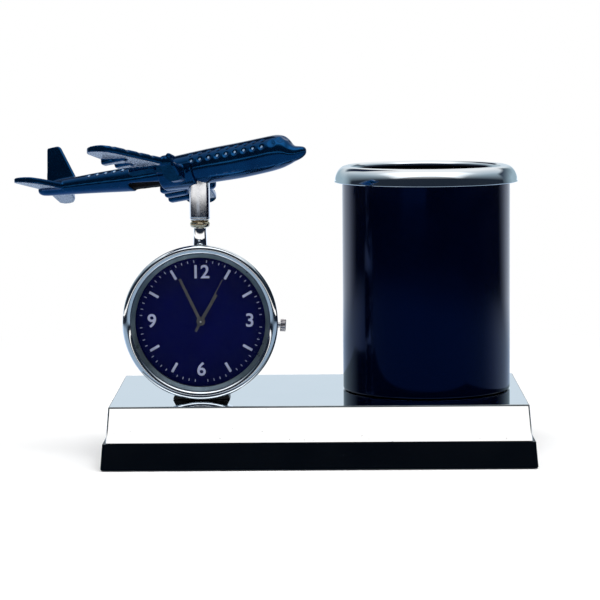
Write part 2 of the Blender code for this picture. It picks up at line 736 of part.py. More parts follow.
def add_rim(base):
    """Half-round ring pressed over the tumbler's lip, with a slot for the wall below."""
    middle = (RIM_RADIUS + RIM_INNER_RADIUS) / 2
    half_width = (RIM_RADIUS - RIM_INNER_RADIUS) / 2
    crown = RIM_HEIGHT - RIM_BELLY
    foot = RIM_FOOT_WIDTH / 2
    outline = [(middle - foot, 0)]
    for step in range(ROLL_STEPS + 1):
        turn_angle = HALF_TURN - HALF_TURN * step / ROLL_STEPS
        outline.append((middle + half_width * math.cos(turn_angle), RIM_BELLY + crown * math.sin(turn_angle)))
    outline.append((middle + foot, 0))
    slot_outer = CUP_RADIUS + GAP
    slot_inner = CUP_RADIUS - CUP_WALL - GAP
    slot_top = RIM_DROP + GAP
    outline += [(slot_outer, 0), (slot_outer, slot_top), (slot_inner, slot_top), (slot_inner, 0)]
    rim = add_turned("cup_rim", outline, "chrome", base)
    rim.location = (CUP_X, CUP_Y, RIM_BOTTOM)


def add_foot(base):
    """Black saddle foot whose hollow top follows the clock case."""
    height = CLOCK_Z - COVER_TOP
    size = (FOOT_WIDTH, FOOT_DEPTH, height)
    foot = add_object("clock_foot", block_mesh("clock_foot", size), "black_plastic", base)
    foot.location = (CLOCK_X, POST_Y, COVER_TOP + GAP)
    for corner in foot.data.vertices:
        if corner.co.z > 0:
            corner.co.x -= math.copysign(FOOT_FLARE, corner.co.x)
            corner.co.z = CLOCK_Z - COVER_TOP - CASE_RADIUS + FOOT_DEPTH / 2
    add_bevel(foot, GAP, 1)
    hollow_length = FOOT_DEPTH + 2 * OVERRUN
    drill(foot, "foot_hollow", CASE_RADIUS + GAP, hollow_length,
          (CLOCK_X, POST_Y - hollow_length / 2, CLOCK_Z), base, (-QUARTER_TURN, 0, 0), LARGE_ROUND)
    drill(foot, "foot_bolt_hole", BOLT_RADIUS + BOLT_CLEARANCE, height, (CLOCK_X, POST_Y, COVER_TOP), base,
          sides=SCREW_ROUND)


def add_bezel(clock):
    """Half-round ring with a sloped inner lip and a skirt that enters the case."""
    roll_centre = BEZEL_RADIUS - BEZEL_ROLL
    lip_front = BEZEL_LIP_DEPTH
    outline = [(BEZEL_SKIRT_OUTER, BEZEL_BACK), (BEZEL_RADIUS - BEZEL_ROLL / 2, BEZEL_BACK)]
    outline += arc(roll_centre, 0, BEZEL_ROLL, 0, -BEZEL_ROLL_SWEEP, ROLL_STEPS)
    outline += [(BEZEL_OPENING, lip_front), (BEZEL_OPENING, BEZEL_SEAT), (BEZEL_SKIRT_INNER, BEZEL_SEAT)]
    outline += [(BEZEL_SKIRT_INNER, BEZEL_BACK + BEZEL_SKIRT_DEPTH),
                (BEZEL_SKIRT_OUTER, BEZEL_BACK + BEZEL_SKIRT_DEPTH)]
    add_turned("clock_bezel", outline, "chrome", clock)


def add_crystal(clock):
    """Flat mineral crystal with an eased front edge, and the gasket round it."""
    edge = CRYSTAL_THICKNESS / 5
    outline = [(0, GASKET_FRONT), (CRYSTAL_RADIUS - edge, GASKET_FRONT),
               (CRYSTAL_RADIUS, GASKET_FRONT + edge), (CRYSTAL_RADIUS, CRYSTAL_BACK), (0, CRYSTAL_BACK)]
    add_turned("crystal", outline, "crystal", clock)
    inner = CRYSTAL_RADIUS + SLIDING_GAP
    outer = BEZEL_SKIRT_INNER - SLIDING_GAP
    back = GASKET_FRONT + GASKET_THICKNESS
    ring = [(inner, GASKET_FRONT), (outer, GASKET_FRONT), (outer, back), (inner, back)]
    add_turned("crystal_gasket", ring, "rubber", clock)


def add_dial(clock):
    """Dial disc and the black ring that spaces it from the crystal."""
    ring = [(SPACER_OPENING, SPACER_FRONT), (SPACER_RADIUS, SPACER_FRONT), (SPACER_RADIUS, SPACER_BACK),
            (SPACER_OPENING, SPACER_BACK)]
    add_turned("dial_spacer", ring, "black_plastic", clock)
    disc = [(DIAL_HOLE, DIAL_FRONT), (DIAL_RADIUS, DIAL_FRONT), (DIAL_RADIUS, DIAL_BACK),
            (DIAL_HOLE, DIAL_BACK)]
    add_turned("dial", disc, "dial_navy", clock)


def add_case(clock, works):
    """Cast case ring: front bore, dial shoulder, rear rebate, and three holes through its wall."""
    rebate = BACK_FLANGE_RADIUS + SLIDING_GAP
    outline = [(CASE_FRONT_BORE, CASE_FRONT), (CASE_RADIUS, CASE_FRONT)]
    outline += arc(CASE_RADIUS - CASE_EDGE, CASE_BACK - CASE_EDGE, CASE_EDGE, 0, QUARTER_TURN, 3)
    outline += [(rebate, CASE_BACK), (rebate, BACK_SEAT), (CASE_BORE, BACK_SEAT), (CASE_BORE, CASE_SHOULDER),
                (CASE_FRONT_BORE, CASE_SHOULDER)]
    case = add_turned("clock_case", outline, "chrome", clock)
    wall_span = CASE_RADIUS - CASE_BORE + 2 * OVERRUN
    inside = CASE_BORE - OVERRUN
    drill(case, "case_stem_hole", STEM_BOSS_RADIUS + RUNNING_GAP, wall_span, (inside, 0, STEM_DEPTH), works,
          (0, QUARTER_TURN, 0))
    drill(case, "case_post_hole", POST_SPIGOT_RADIUS + RUNNING_GAP, wall_span,
          (0, -inside, CASE_MIDDLE), clock, (QUARTER_TURN, 0, 0))
    drill(case, "case_bolt_hole", BOLT_RADIUS + RUNNING_GAP, wall_span, (0, inside, CASE_MIDDLE), clock,
          (-QUARTER_TURN, 0, 0), SCREW_ROUND)


def add_back_cover(clock):
    """Snap-in back with a gently domed face, a plug rim and a pry notch."""
    rim_outer = CASE_BORE - SLIDING_GAP
    rim_inner = rim_outer - BACK_RIM_WALL
    inner_face = BACK_FLANGE_FRONT
    dome_top = CASE_BACK + BACK_DOME
    outline = [(0, inner_face), (rim_inner, inner_face), (rim_inner, BACK_RIM_FRONT),
               (rim_outer, BACK_RIM_FRONT), (rim_outer, BACK_FLANGE_FRONT),
               (BACK_FLANGE_RADIUS, BACK_FLANGE_FRONT),
               (BACK_FLANGE_RADIUS, CASE_BACK), (BACK_FLANGE_RADIUS - BACK_DOME, CASE_BACK),
               (BACK_FLANGE_RADIUS - BACK_DOME_SLOPE, dome_top), (0, dome_top)]
    back = add_turned("back_cover", outline, "steel", clock)
    drill(back, "back_notch", BACK_NOTCH_RADIUS, BACK_FLANGE_THICKNESS + 2 * OVERRUN,
          (0, BACK_FLANGE_RADIUS, BACK_FLANGE_FRONT - OVERRUN), clock)


def add_movement(works):
    """Plastic holder, quartz movement, its cell and the strap over the cell."""
    disc = [(0, HOLDER_FRONT), (HOLDER_RADIUS, HOLDER_FRONT), (HOLDER_RADIUS, HOLDER_BACK), (0, HOLDER_BACK)]
    holder = add_turned("movement_holder", disc, "white_plastic", works, MEDIUM_ROUND)
    pocket_size = (MOVEMENT_WIDTH + 2 * GAP, MOVEMENT_HEIGHT + 2 * GAP, HOLDER_THICKNESS + 2 * OVERRUN)
    pocket = add_helper("holder_pocket", block_mesh("holder_pocket", pocket_size), works)
    pocket.location.z = HOLDER_FRONT - OVERRUN
    boolean(holder, pocket, "DIFFERENCE")
    for index in range(HOLDER_HOLES):
        angle = FULL_TURN * (index + 0.5) / HOLDER_HOLES
        reach = HOLDER_RADIUS - HOLDER_HOLE_INSET
        place = (reach * math.cos(angle), reach * math.sin(angle), HOLDER_FRONT - OVERRUN)
        drill(holder, "holder_hole_%d" % index, HOLDER_HOLE_RADIUS, HOLDER_THICKNESS + 2 * OVERRUN,
              place, works)
    drill(holder, "holder_stem_slot", STEM_BOSS_RADIUS + RUNNING_GAP, HOLDER_RADIUS,
          (MOVEMENT_WIDTH / 4, 0, STEM_DEPTH), works, (0, QUARTER_TURN, 0))
    size = (MOVEMENT_WIDTH, MOVEMENT_HEIGHT, MOVEMENT_THICKNESS)
    movement = add_object("movement", block_mesh("movement", size), "movement_metal", works)
    movement.location.z = MOVEMENT_FRONT
    add_bevel(movement, MOVEMENT_EDGE, 1)
    drill(movement, "movement_centre_bore", HOUR_PIPE_RADIUS + RUNNING_GAP,
          PIPE_DEPTH_IN_MOVEMENT + GAP + OVERRUN, (0, 0, MOVEMENT_FRONT - OVERRUN), works)
    drill(movement, "movement_stem_bore", STEM_COLLAR_RADIUS + RUNNING_GAP, MOVEMENT_WIDTH,
          (STEM_INNER_END - GAP, 0, STEM_DEPTH), works, (0, QUARTER_TURN, 0))
    cell_front = MOVEMENT_BACK - CELL_HEIGHT
    drill(movement, "movement_cell_bore", CELL_RADIUS + 2 * SLIDING_GAP, CELL_HEIGHT + GAP + OVERRUN,
          (CELL_X, CELL_DROP, cell_front - GAP), works)
    edge = CELL_HEIGHT / 8
    outline = [(0, 0), (CELL_RADIUS - edge, 0), (CELL_RADIUS, edge), (CELL_RADIUS, CELL_HEIGHT),
               (0, CELL_HEIGHT)]
    cell = add_turned("button_cell", outline, "steel", works, SMALL_ROUND)
    cell.location = (CELL_X, CELL_DROP, cell_front)
    strap_size = (STRAP_LENGTH, STRAP_WIDTH, STRAP_THICKNESS)
    strap = add_object("cell_strap", block_mesh("cell_strap", strap_size), "steel", works)
    strap.location = (CELL_X / 2, CELL_DROP, MOVEMENT_BACK + GAP)
    return movement


def add_hand(name, clock, sizes, angle):
    """A flat hand joined to its hub ring, turned to its place on the dial."""
    length, width, thickness, front, hub_radius, bore, tail = sizes
    outline = [(bore, 0), (hub_radius, 0), (hub_radius, thickness), (bore, thickness)]
    hand = add_turned(name, outline, "hand_grey", clock, SMALL_ROUND)
    hand.location.z = front
    hand.rotation_euler.z = angle
    start = (bore + hub_radius) / 2
    blade_mesh = flat_mesh(name + "_blade", hand_blade_points(length, width, start), thickness)
    blade = add_helper(name + "_blade", blade_mesh, clock)
    blade.location.z = front + thickness / 2
    blade.rotation_euler.z = angle
    boolean(hand, blade, "UNION")
    if tail > 0:
        tail_mesh = flat_mesh(name + "_tail", hand_blade_points(tail, 2 * width, start), thickness)
        counter = add_helper(name + "_tail", tail_mesh, clock)
        counter.location.z = front + thickness / 2
        counter.rotation_euler.z = angle + HALF_TURN
        boolean(hand, counter, "UNION")


def hand_blade_points(length, width, start):
    """Outline of a hand's blade, from its hub to its tip."""
    root = width / 2
    tip = width / 4
    return [(-root, -start), (-tip, -length + tip), (0, -length), (tip, -length + tip), (root, -start)]


def add_hands(clock):
    """Hour, minute and second hands with the pipe or pin that carries each."""
    second_bore = SECOND_PIN_RADIUS + RUNNING_GAP
    minute_bore = MINUTE_PIPE_RADIUS + RUNNING_GAP
    hour_bore = HOUR_PIPE_RADIUS + RUNNING_GAP
    add_hand("hour_hand", clock, (HOUR_HAND_LENGTH, HOUR_HAND_WIDTH, HOUR_HAND_THICKNESS, HOUR_HAND_FRONT,
                                  HOUR_HUB_RADIUS, hour_bore, 0), HOUR_HAND_ANGLE)
    add_hand("minute_hand", clock, (MINUTE_HAND_LENGTH, MINUTE_HAND_WIDTH, MINUTE_HAND_THICKNESS,
                                    MINUTE_HAND_FRONT, MINUTE_HUB_RADIUS, minute_bore, 0), MINUTE_HAND_ANGLE)
    add_hand("second_hand", clock, (SECOND_HAND_LENGTH, SECOND_HAND_WIDTH, SECOND_HAND_THICKNESS,
                                    SECOND_HAND_FRONT, SECOND_HUB_RADIUS, second_bore, SECOND_TAIL_LENGTH),
             SECOND_HAND_ANGLE)
    pipes = (("hour_pipe", HOUR_PIPE_RADIUS, minute_bore, HOUR_HAND_FRONT),
             ("minute_pipe", MINUTE_PIPE_RADIUS, second_bore, MINUTE_HAND_FRONT))
    for name, radius, bore, front in pipes:
        ring = [(bore, front - PIPE_PROUD), (radius, front - PIPE_PROUD), (radius, PIPE_BACK),
                (bore, PIPE_BACK)]
        add_turned(name, ring, "brass", clock, SMALL_ROUND)
    front = SECOND_HAND_FRONT - PIPE_PROUD
    pin = [(0, front), (SECOND_PIN_RADIUS, front), (SECOND_PIN_RADIUS, PIPE_BACK), (0, PIPE_BACK)]
    add_turned("second_pin", pin, "steel", clock, SMALL_ROUND)


def add_crown(works):
    """Fluted crown, the stem behind it, and the lever that slides with the stem."""
    stem_frame = add_frame("crown_axis", (0, 0, STEM_DEPTH), (0, QUARTER_TURN, 0), works)
    crown_inner = CROWN_OUTREACH - CROWN_LENGTH
    outline = []
    for index in range(2 * CROWN_FLUTES):
        radius = CROWN_RADIUS if index % 2 == 0 else CROWN_RADIUS - CROWN_FLUTE_DEPTH
        angle = FULL_TURN * index / (2 * CROWN_FLUTES)
        outline.append((radius * math.cos(angle), radius * math.sin(angle)))
    crown = add_object("crown", flat_mesh("crown", outline, CROWN_LENGTH), "steel", stem_frame)
    crown.location.z = crown_inner + CROWN_LENGTH / 2
    drill(crown, "crown_thread", STEM_RADIUS + RUNNING_GAP, CROWN_LENGTH / 2 + OVERRUN,
          (0, 0, crown_inner - OVERRUN), stem_frame)
    boss_outer = crown_inner - GAP
    boss_inner = CASE_BORE - OVERRUN
    groove = STEM_INNER_END + STEM_COLLAR_WIDTH
    groove_end = groove + STEM_GROOVE_WIDTH
    outer_collar = groove_end + STEM_COLLAR_WIDTH
    stem_end = crown_inner + CROWN_LENGTH / 2 - GAP
    outline = [(0, STEM_INNER_END), (STEM_COLLAR_RADIUS, STEM_INNER_END), (STEM_COLLAR_RADIUS, groove),
               (STEM_RADIUS, groove), (STEM_RADIUS, groove_end), (STEM_COLLAR_RADIUS, groove_end),
               (STEM_COLLAR_RADIUS, outer_collar), (STEM_RADIUS, outer_collar), (STEM_RADIUS, boss_inner),
               (STEM_BOSS_RADIUS, boss_inner), (STEM_BOSS_RADIUS, boss_outer), (STEM_RADIUS, boss_outer),
               (STEM_RADIUS, stem_end), (0, stem_end)]
    add_turned("winding_stem", outline, "steel", stem_frame, SMALL_ROUND)


def add_setting_lever(works, movement):
    """Forked lever whose legs stand in the stem's groove, in a slot that leaves room for the pull."""
    groove_middle = STEM_INNER_END + STEM_COLLAR_WIDTH + STEM_GROOVE_WIDTH / 2
    front = STEM_DEPTH - LEVER_REACH
    height = MOVEMENT_BACK - front
    lever = add_object("setting_lever", block_mesh("setting_lever", (LEVER_THICKNESS, LEVER_WIDTH, height)),
                       "steel", works)
    lever.location = (groove_middle, 0, front)
    notch_width = 2 * (STEM_RADIUS + RUNNING_GAP)
    notch_size = (LEVER_THICKNESS + 2 * OVERRUN, notch_width, LEVER_REACH + OVERRUN)
    notch = add_helper("lever_notch", block_mesh("lever_notch", notch_size), works)
    notch.location = (groove_middle, 0, front - OVERRUN)
    boolean(lever, notch, "DIFFERENCE")
    drill(lever, "lever_notch_end", notch_width / 2, LEVER_THICKNESS + 2 * OVERRUN,
          (groove_middle - LEVER_THICKNESS / 2 - OVERRUN, 0, STEM_DEPTH), works, (0, QUARTER_TURN, 0))
    slot_length = LEVER_THICKNESS + CROWN_PULL + 2 * GAP
    slot_size = (slot_length, LEVER_WIDTH + 2 * GAP, height + 2 * OVERRUN)
    slot = add_helper("lever_slot", block_mesh("lever_slot", slot_size), works)
    slot.location = (groove_middle + CROWN_PULL / 2, 0, front - GAP)
    boolean(movement, slot, "DIFFERENCE")


def add_post(post):
    """Tapered chrome post with a spigot below and a grooved journal above, and the brass collar on it."""
    journal_bottom = POST_HEIGHT
    groove_bottom = journal_bottom + GAP + POST_GROOVE_RISE
    groove_top = groove_bottom + POST_GROOVE_WIDTH
    top = journal_bottom + POST_JOURNAL_LENGTH
    edge = COLLAR_EDGE
    outline = [(0, -POST_SPIGOT_LENGTH), (POST_SPIGOT_RADIUS, -POST_SPIGOT_LENGTH), (POST_SPIGOT_RADIUS, 0),
               (POST_BASE_RADIUS, 0), (POST_TOP_RADIUS, journal_bottom),
               (POST_JOURNAL_RADIUS, journal_bottom), (POST_JOURNAL_RADIUS, groove_bottom),
               (POST_GROOVE_RADIUS, groove_bottom),
               (POST_GROOVE_RADIUS, groove_top), (POST_JOURNAL_RADIUS, groove_top),
               (POST_JOURNAL_RADIUS, top - edge), (POST_JOURNAL_RADIUS - edge, top), (0, top)]
    add_turned("neck_post", outline, "chrome", post, SMALL_ROUND)
    bore = POST_JOURNAL_RADIUS + RUNNING_GAP
    ring = [(bore, 0), (COLLAR_RADIUS - edge, 0), (COLLAR_RADIUS, edge),
            (COLLAR_RADIUS, COLLAR_HEIGHT - edge), (COLLAR_RADIUS - edge, COLLAR_HEIGHT),
            (bore, COLLAR_HEIGHT)]
    collar = add_turned("brass_collar", ring, "brass", post, MEDIUM_ROUND)
    collar.location.z = COLLAR_BOTTOM - POST_BOTTOM


def add_sleeve(swivel):
    """Swivelling sleeve over the journal, its grub screw, and the screw up into the airliner."""
    bore = POST_JOURNAL_RADIUS + RUNNING_GAP
    depth = SLEEVE_BORE_TOP - SLEEVE_BOTTOM
    screw_hole = PLANE_SCREW_RADIUS + RUNNING_GAP
    outline = [(bore, 0), (SLEEVE_RADIUS - SLEEVE_EDGE, 0), (SLEEVE_RADIUS, SLEEVE_EDGE),
               (SLEEVE_RADIUS, SLEEVE_LENGTH - SLEEVE_EDGE), (SLEEVE_RADIUS - SLEEVE_EDGE, SLEEVE_LENGTH),
               (screw_hole, SLEEVE_LENGTH), (screw_hole, depth), (bore, depth)]
    sleeve = add_turned("swivel_sleeve", outline, "chrome", swivel, MEDIUM_ROUND)
    grub_level = GRUB_HEIGHT - SLEEVE_BOTTOM
    drill(sleeve, "grub_hole", GRUB_RADIUS + RUNNING_GAP, SLEEVE_RADIUS, (0, bore / 2, grub_level), swivel,
          (-QUARTER_TURN, 0, 0))
    tip_end = POST_GROOVE_RADIUS + SLIDING_GAP
    step = bore + SLIDING_GAP
    outer = SLEEVE_RADIUS - GAP
    grub_outline = [(0, tip_end), (GRUB_TIP_RADIUS, tip_end), (GRUB_TIP_RADIUS, step), (GRUB_RADIUS, step),
                    (GRUB_RADIUS, outer), (0, outer)]
    grub = add_turned("sleeve_grub_screw", grub_outline, "steel", swivel, SMALL_ROUND)
    grub.location.z = grub_level
    grub.rotation_euler = (-QUARTER_TURN, 0, 0)
    screw_outline_points = screw_outline(PLANE_SCREW_HEAD_RADIUS, PLANE_SCREW_HEAD_HEIGHT, PLANE_SCREW_RADIUS,
                                         PLANE_SCREW_HEAD_HEIGHT + PLANE_SCREW_LENGTH)
    screw = add_turned("plane_screw", screw_outline_points, "steel", swivel, SMALL_ROUND)
    screw.location.z = PLANE_SCREW_HEAD_TOP - PLANE_SCREW_HEAD_HEIGHT - SLEEVE_BOTTOM


def fuselage_stations():
    """Place, top and bottom of each fuselage section, from nose to tail."""
    stations = [(share * NOSE_REACH, top * FUSELAGE_RADIUS, bottom * FUSELAGE_RADIUS)
                for share, top, bottom in NOSE_STATION_SHARES]
    stations += [(-share * TAIL_REACH, top * FUSELAGE_RADIUS, bottom * FUSELAGE_RADIUS)
                 for share, top, bottom in TAIL_STATION_SHARES]
    return stations


def section_at(place):
    """Top and bottom of the fuselage at a place along it."""
    stations = fuselage_stations()
    for (front, top_a, bottom_a), (rear, top_b, bottom_b) in zip(stations, stations[1:]):
        if rear <= place <= front:
            share = (front - place) / (front - rear)
            return top_a + share * (top_b - top_a), bottom_a + share * (bottom_b - bottom_a)
    return stations[-1][1:]


def loft(shape, rings):
    """Skin a row of rings of equal point count and cap both ends."""
    loops = [[shape.verts.new(point) for point in ring] for ring in rings]
    for front, rear in zip(loops, loops[1:]):
        for index in range(len(front)):
            after = (index + 1) % len(front)
            shape.faces.new((front[index], front[after], rear[after], rear[index]))
    shape.faces.new(loops[0])
    shape.faces.new(loops[-1])


def body_ring(place, top, bottom, swell=0.0):
    """A round fuselage section, swollen outwards where asked."""
    middle = (top + bottom) / 2
    radius = (top - bottom) / 2 + swell
    turns = [FULL_TURN * index / FUSELAGE_SIDES for index in range(FUSELAGE_SIDES)]
    return [(place, radius * math.cos(turn), middle + radius * math.sin(turn)) for turn in turns]


def surface_rings(sizes, stations):
    """Rings of a wing, tail plane or fin half, from root to tip."""
    root_y, tip_y, root_front, root_rear, tip_front, tip_rear, root_thickness, tip_thickness = sizes
    rings = []
    for share, chord_share, thickness_share in stations:
        front = root_front + share * (tip_front - root_front)
        rear = root_rear + share * (tip_rear - root_rear)
        chord = (front - rear) * chord_share
        middle = (front + rear) / 2
        half = (root_thickness + share * (tip_thickness - root_thickness)) * thickness_share / 2
        out = root_y + share * (tip_y - root_y)
        leading = middle + chord / 2
        rings.append([(leading - back * chord, out, side * half) for back, side in WING_SECTION_SHARES])
    return rings


def add_pod(shape, place, length, radius, sides=POD_SIDES):
    """An engine pod: a blunt round nose, a long body and a drawn-in tail, along X."""
    rings = []
    for along, wide in POD_PROFILE_SHARES:
        rings.append([(place[0] + length / 2 - along * length,
                       place[1] + wide * radius * math.cos(FULL_TURN * index / sides),
                       place[2] + wide * radius * math.sin(FULL_TURN * index / sides))
                      for index in range(sides)])
    loft(shape, rings)


def add_tail_surface(name, sizes, parent):
    """Helper for a tail plane half, built out along +Y from the fuselage's middle."""
    def build(shape):
        loft(shape, surface_rings(sizes, WING_STATION_SHARES))

    return add_helper(name, mesh_from(build, name), parent)


def mirror_across_fuselage(helper):
    """Give a helper its twin on the other side."""
    modifier = helper.modifiers.new("twin", "MIRROR")
    modifier.use_axis = (False, True, False)
    modifier.use_clip = False
    modifier.merge_threshold = MERGE_DISTANCE


def add_fuselage(plane, swivel):
    """Cast fuselage with its fin and tail planes, bored for the sleeve and its screw."""
    def build(shape):
        loft(shape, [body_ring(*station) for station in fuselage_stations()])

    fuselage = add_object("fuselage", mesh_from(build, "fuselage"), "airliner_blue", plane)
    sizes = (STABILISER_ROOT_INSET, STABILISER_HALF_SPAN, -STABILISER_ROOT_FRONT, -STABILISER_ROOT_REAR,
             -STABILISER_TIP_FRONT, -STABILISER_TIP_REAR, STABILISER_THICKNESS, STABILISER_TIP_THICKNESS)
    tail_plane = add_tail_surface("tail_planes", sizes, plane)
    tail_plane.data.transform(Matrix.Translation((0, 0, STABILISER_LIFT)))
    mirror_across_fuselage(tail_plane)
    boolean(fuselage, tail_plane, "UNION")
    sizes = (STABILISER_LIFT, FIN_HEIGHT, -FIN_ROOT_FRONT, -FIN_ROOT_REAR, -FIN_TOP_FRONT, -FIN_TOP_REAR,
             FIN_THICKNESS, FIN_TOP_THICKNESS)
    fin = add_tail_surface("tail_fin", sizes, plane)
    fin.data.transform(Matrix.Rotation(QUARTER_TURN, 4, "X"))
    boolean(fuselage, fin, "UNION")
    bore_for_sleeve(fuselage, "fuselage", swivel)
    drill(fuselage, "fuselage_screw_hole", PLANE_SCREW_RADIUS + RUNNING_GAP, PLANE_SCREW_LENGTH + GAP,
          (0, 0, SLEEVE_LENGTH - SLEEVE_TOP_WALL), swivel)


def bore_for_sleeve(part, name, swivel):
    """Cut the round socket that takes the sleeve's top."""
    drill(part, name + "_socket", SLEEVE_RADIUS + GAP, SLEEVE_LENGTH, (0, 0, GAP), swivel, sides=MEDIUM_ROUND)


def add_wings(plane, swivel):
    """Wing casting: a belly saddle round the fuselage, two swept wings, their pods and fittings."""
    rear, front = -SADDLE_REAR, SADDLE_FRONT
    inner = [station for station in fuselage_stations() if rear < station[0] < front]
    stations = [(front, *section_at(front)), *inner, (rear, *section_at(rear))]

    def build_saddle(shape):
        loft(shape, [body_ring(*station, swell=GAP + SADDLE_WALL) for station in stations])

    def build_core(shape):
        loft(shape, [body_ring(*station, swell=GAP) for station in fuselage_stations()])

    def build_wing(shape):
        sizes = (WING_ROOT_INSET, WING_HALF_SPAN, WING_ROOT_FRONT, -WING_ROOT_REAR, -WING_TIP_FRONT,
                 -WING_TIP_REAR, WING_ROOT_THICKNESS, WING_TIP_THICKNESS)
        loft(shape, surface_rings(sizes, WING_STATION_SHARES))

    casting = add_object("wing_casting", mesh_from(build_saddle, "wing_casting"), "airliner_blue", plane)
    lid_size = (NOSE_REACH, 4 * FUSELAGE_RADIUS, 2 * FUSELAGE_RADIUS)
    lid = add_helper("saddle_lid", block_mesh("saddle_lid", lid_size), plane)
    lid.location.z = SADDLE_TOP
    boolean(casting, lid, "DIFFERENCE")
    wing = add_helper("wings", mesh_from(build_wing, "wings"), plane)
    slope = Matrix.Translation((0, 0, wing_level(0))) @ Matrix.Rotation(WING_DIHEDRAL, 4, "X")
    wing.data.transform(slope)
    mirror_across_fuselage(wing)
    boolean(casting, wing, "UNION")
    add_pods(casting, plane)
    core = add_helper("saddle_core", mesh_from(build_core, "saddle_core"), plane)
    boolean(casting, core, "DIFFERENCE")
    bore_for_sleeve(casting, "casting", swivel)


def wing_level(out):
    """Height of the wing's middle plane at a place along the span."""
    return out * math.tan(WING_DIHEDRAL) - WING_DROP


def add_pods(casting, plane):
    """Three pods under each wing and the small fittings along its leading edge."""
    pods = (("inner_pods", INNER_POD_REAR, INNER_POD_OUT, POD_LENGTH, POD_RADIUS),
            ("middle_pods", MIDDLE_POD_REAR, MIDDLE_POD_OUT, MIDDLE_POD_LENGTH, MIDDLE_POD_RADIUS),
            ("outer_pods", OUTER_POD_REAR, OUTER_POD_OUT, POD_LENGTH, POD_RADIUS))
    for name, back, out, length, radius in pods:
        def build(shape, back=back, out=out, length=length, radius=radius):
            add_pod(shape, (-back, out, wing_level(out) - radius + POD_SINK), length, radius)

        pod = add_helper(name, mesh_from(build, name), plane)
        mirror_across_fuselage(pod)
        boolean(casting, pod, "UNION")

    def build_fittings(shape):
        for share in SLAT_FITTING_SHARES:
            out = share * WING_HALF_SPAN
            edge = WING_ROOT_FRONT - share * (WING_ROOT_FRONT + WING_TIP_FRONT)
            place = (edge - SLAT_FITTING_LENGTH / 2, out, wing_level(out) + SLAT_FITTING_RADIUS)
            add_pod(shape, place, SLAT_FITTING_LENGTH, SLAT_FITTING_RADIUS, FITTING_SIDES)

    fittings = add_helper("slat_fittings", mesh_from(build_fittings, "slat_fittings"), plane)
    mirror_across_fuselage(fittings)
    boolean(casting, fittings, "UNION")


def build_desk_set():
    """Assemble the base, the tumbler, the clock and the airliner."""
    base = add_frame("base_frame", (0, 0, 0))
    add_plinth(base)
    add_pad(base)
    add_board(base)
    add_cover(base)
    add_base_fasteners(base)
    add_cup(base)
    add_rim(base)
    add_foot(base)
    clock = add_frame("clock_axis", (CLOCK_X, CLOCK_Y, CLOCK_Z), (-QUARTER_TURN, 0, 0))
    add_bezel(clock)
    add_crystal(clock)
    add_dial(clock)
    works = add_frame("movement_frame", (0, 0, 0), (0, 0, MOVEMENT_TURN), clock)
    add_case(clock, works)
    movement = add_movement(works)
    add_hands(clock)
    add_crown(works)
    add_setting_lever(works, movement)
    add_back_cover(clock)
    post = add_frame("post_axis", (CLOCK_X, POST_Y, POST_BOTTOM))
    add_post(post)
    swivel = add_frame("swivel_axis", (CLOCK_X, POST_Y, SLEEVE_BOTTOM))
    add_sleeve(swivel)
    plane_place = (0, 0, PLANE_Z - SLEEVE_BOTTOM)
    plane = add_frame("airliner_frame", plane_place, (-PLANE_BANK, -PLANE_PITCH, PLANE_YAW), swivel)
    add_wings(plane, swivel)
    add_fuselage(plane, swivel)


build_desk_set()
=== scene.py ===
import math

import bmesh
import bpy
from mathutils import Euler, Matrix, Vector


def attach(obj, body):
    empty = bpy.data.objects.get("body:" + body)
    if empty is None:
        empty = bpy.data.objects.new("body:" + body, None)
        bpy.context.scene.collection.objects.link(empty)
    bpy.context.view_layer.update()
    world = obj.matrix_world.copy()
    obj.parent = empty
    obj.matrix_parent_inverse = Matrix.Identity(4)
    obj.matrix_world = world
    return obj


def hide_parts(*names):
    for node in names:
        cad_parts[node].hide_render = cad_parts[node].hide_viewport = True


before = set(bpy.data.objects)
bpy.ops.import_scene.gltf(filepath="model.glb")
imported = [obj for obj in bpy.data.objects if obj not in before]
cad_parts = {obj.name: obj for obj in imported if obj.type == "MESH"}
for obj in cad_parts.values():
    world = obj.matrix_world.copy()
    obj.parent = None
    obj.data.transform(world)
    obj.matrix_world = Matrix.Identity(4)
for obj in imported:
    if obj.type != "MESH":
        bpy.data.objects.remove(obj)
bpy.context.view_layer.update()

UPRIGHT = Matrix.Identity(4)

# Turns that point a piece's own Z to the rear and to the right
REARWARD = Matrix.Rotation(math.radians(-90), 4, "X")
RIGHTWARD = Matrix.Rotation(math.radians(90), 4, "Y")

# Places and sizes are in metres. Places of the main assemblies:
CUP_X = 0.0486
CUP_Y = 0.0033
CLOCK_PLACE = (-0.0515, -0.0310, 0.06195)
POST_PLACE = (-0.0515, -0.02275, 0.0)
PLANE_PLACE = (-0.0515, -0.02275, 0.12945)
PLANE_ATTITUDE = (math.radians(-17.2), math.radians(-10.4), math.radians(-23.7))
CLOCK = Matrix.Translation(CLOCK_PLACE) @ REARWARD
WORKS = CLOCK @ Matrix.Rotation(math.radians(3.8), 4, "Z")
STEM_DEPTH = 0.00855
CROWN = WORKS @ Matrix.Translation((0, 0, STEM_DEPTH)) @ RIGHTWARD
CUP = Matrix.Translation((CUP_X, CUP_Y, 0))
POST = Matrix.Translation(POST_PLACE)
PLANE = Matrix.Translation(PLANE_PLACE) @ Euler(PLANE_ATTITUDE).to_matrix().to_4x4()

# Steps round a turned piece, by how large it shows
LARGE_ROUND = 192
WIDE_ROUND = 160
SPIN_STEPS = 128
MEDIUM_ROUND = 96
SMALL_ROUND = 48
HOLE_ROUND = 32
WELD = 0.000001

# Sizes and places that several pieces share
BOARD_SCREW_X = 0.0781
BOARD_SCREW_Y = 0.0383
BOLT_HOLE = 0.0017
SCREW_HOLE = 0.00095
DIAL_FACE = 0.00543


# ---------------------------------------------------------------- modelling


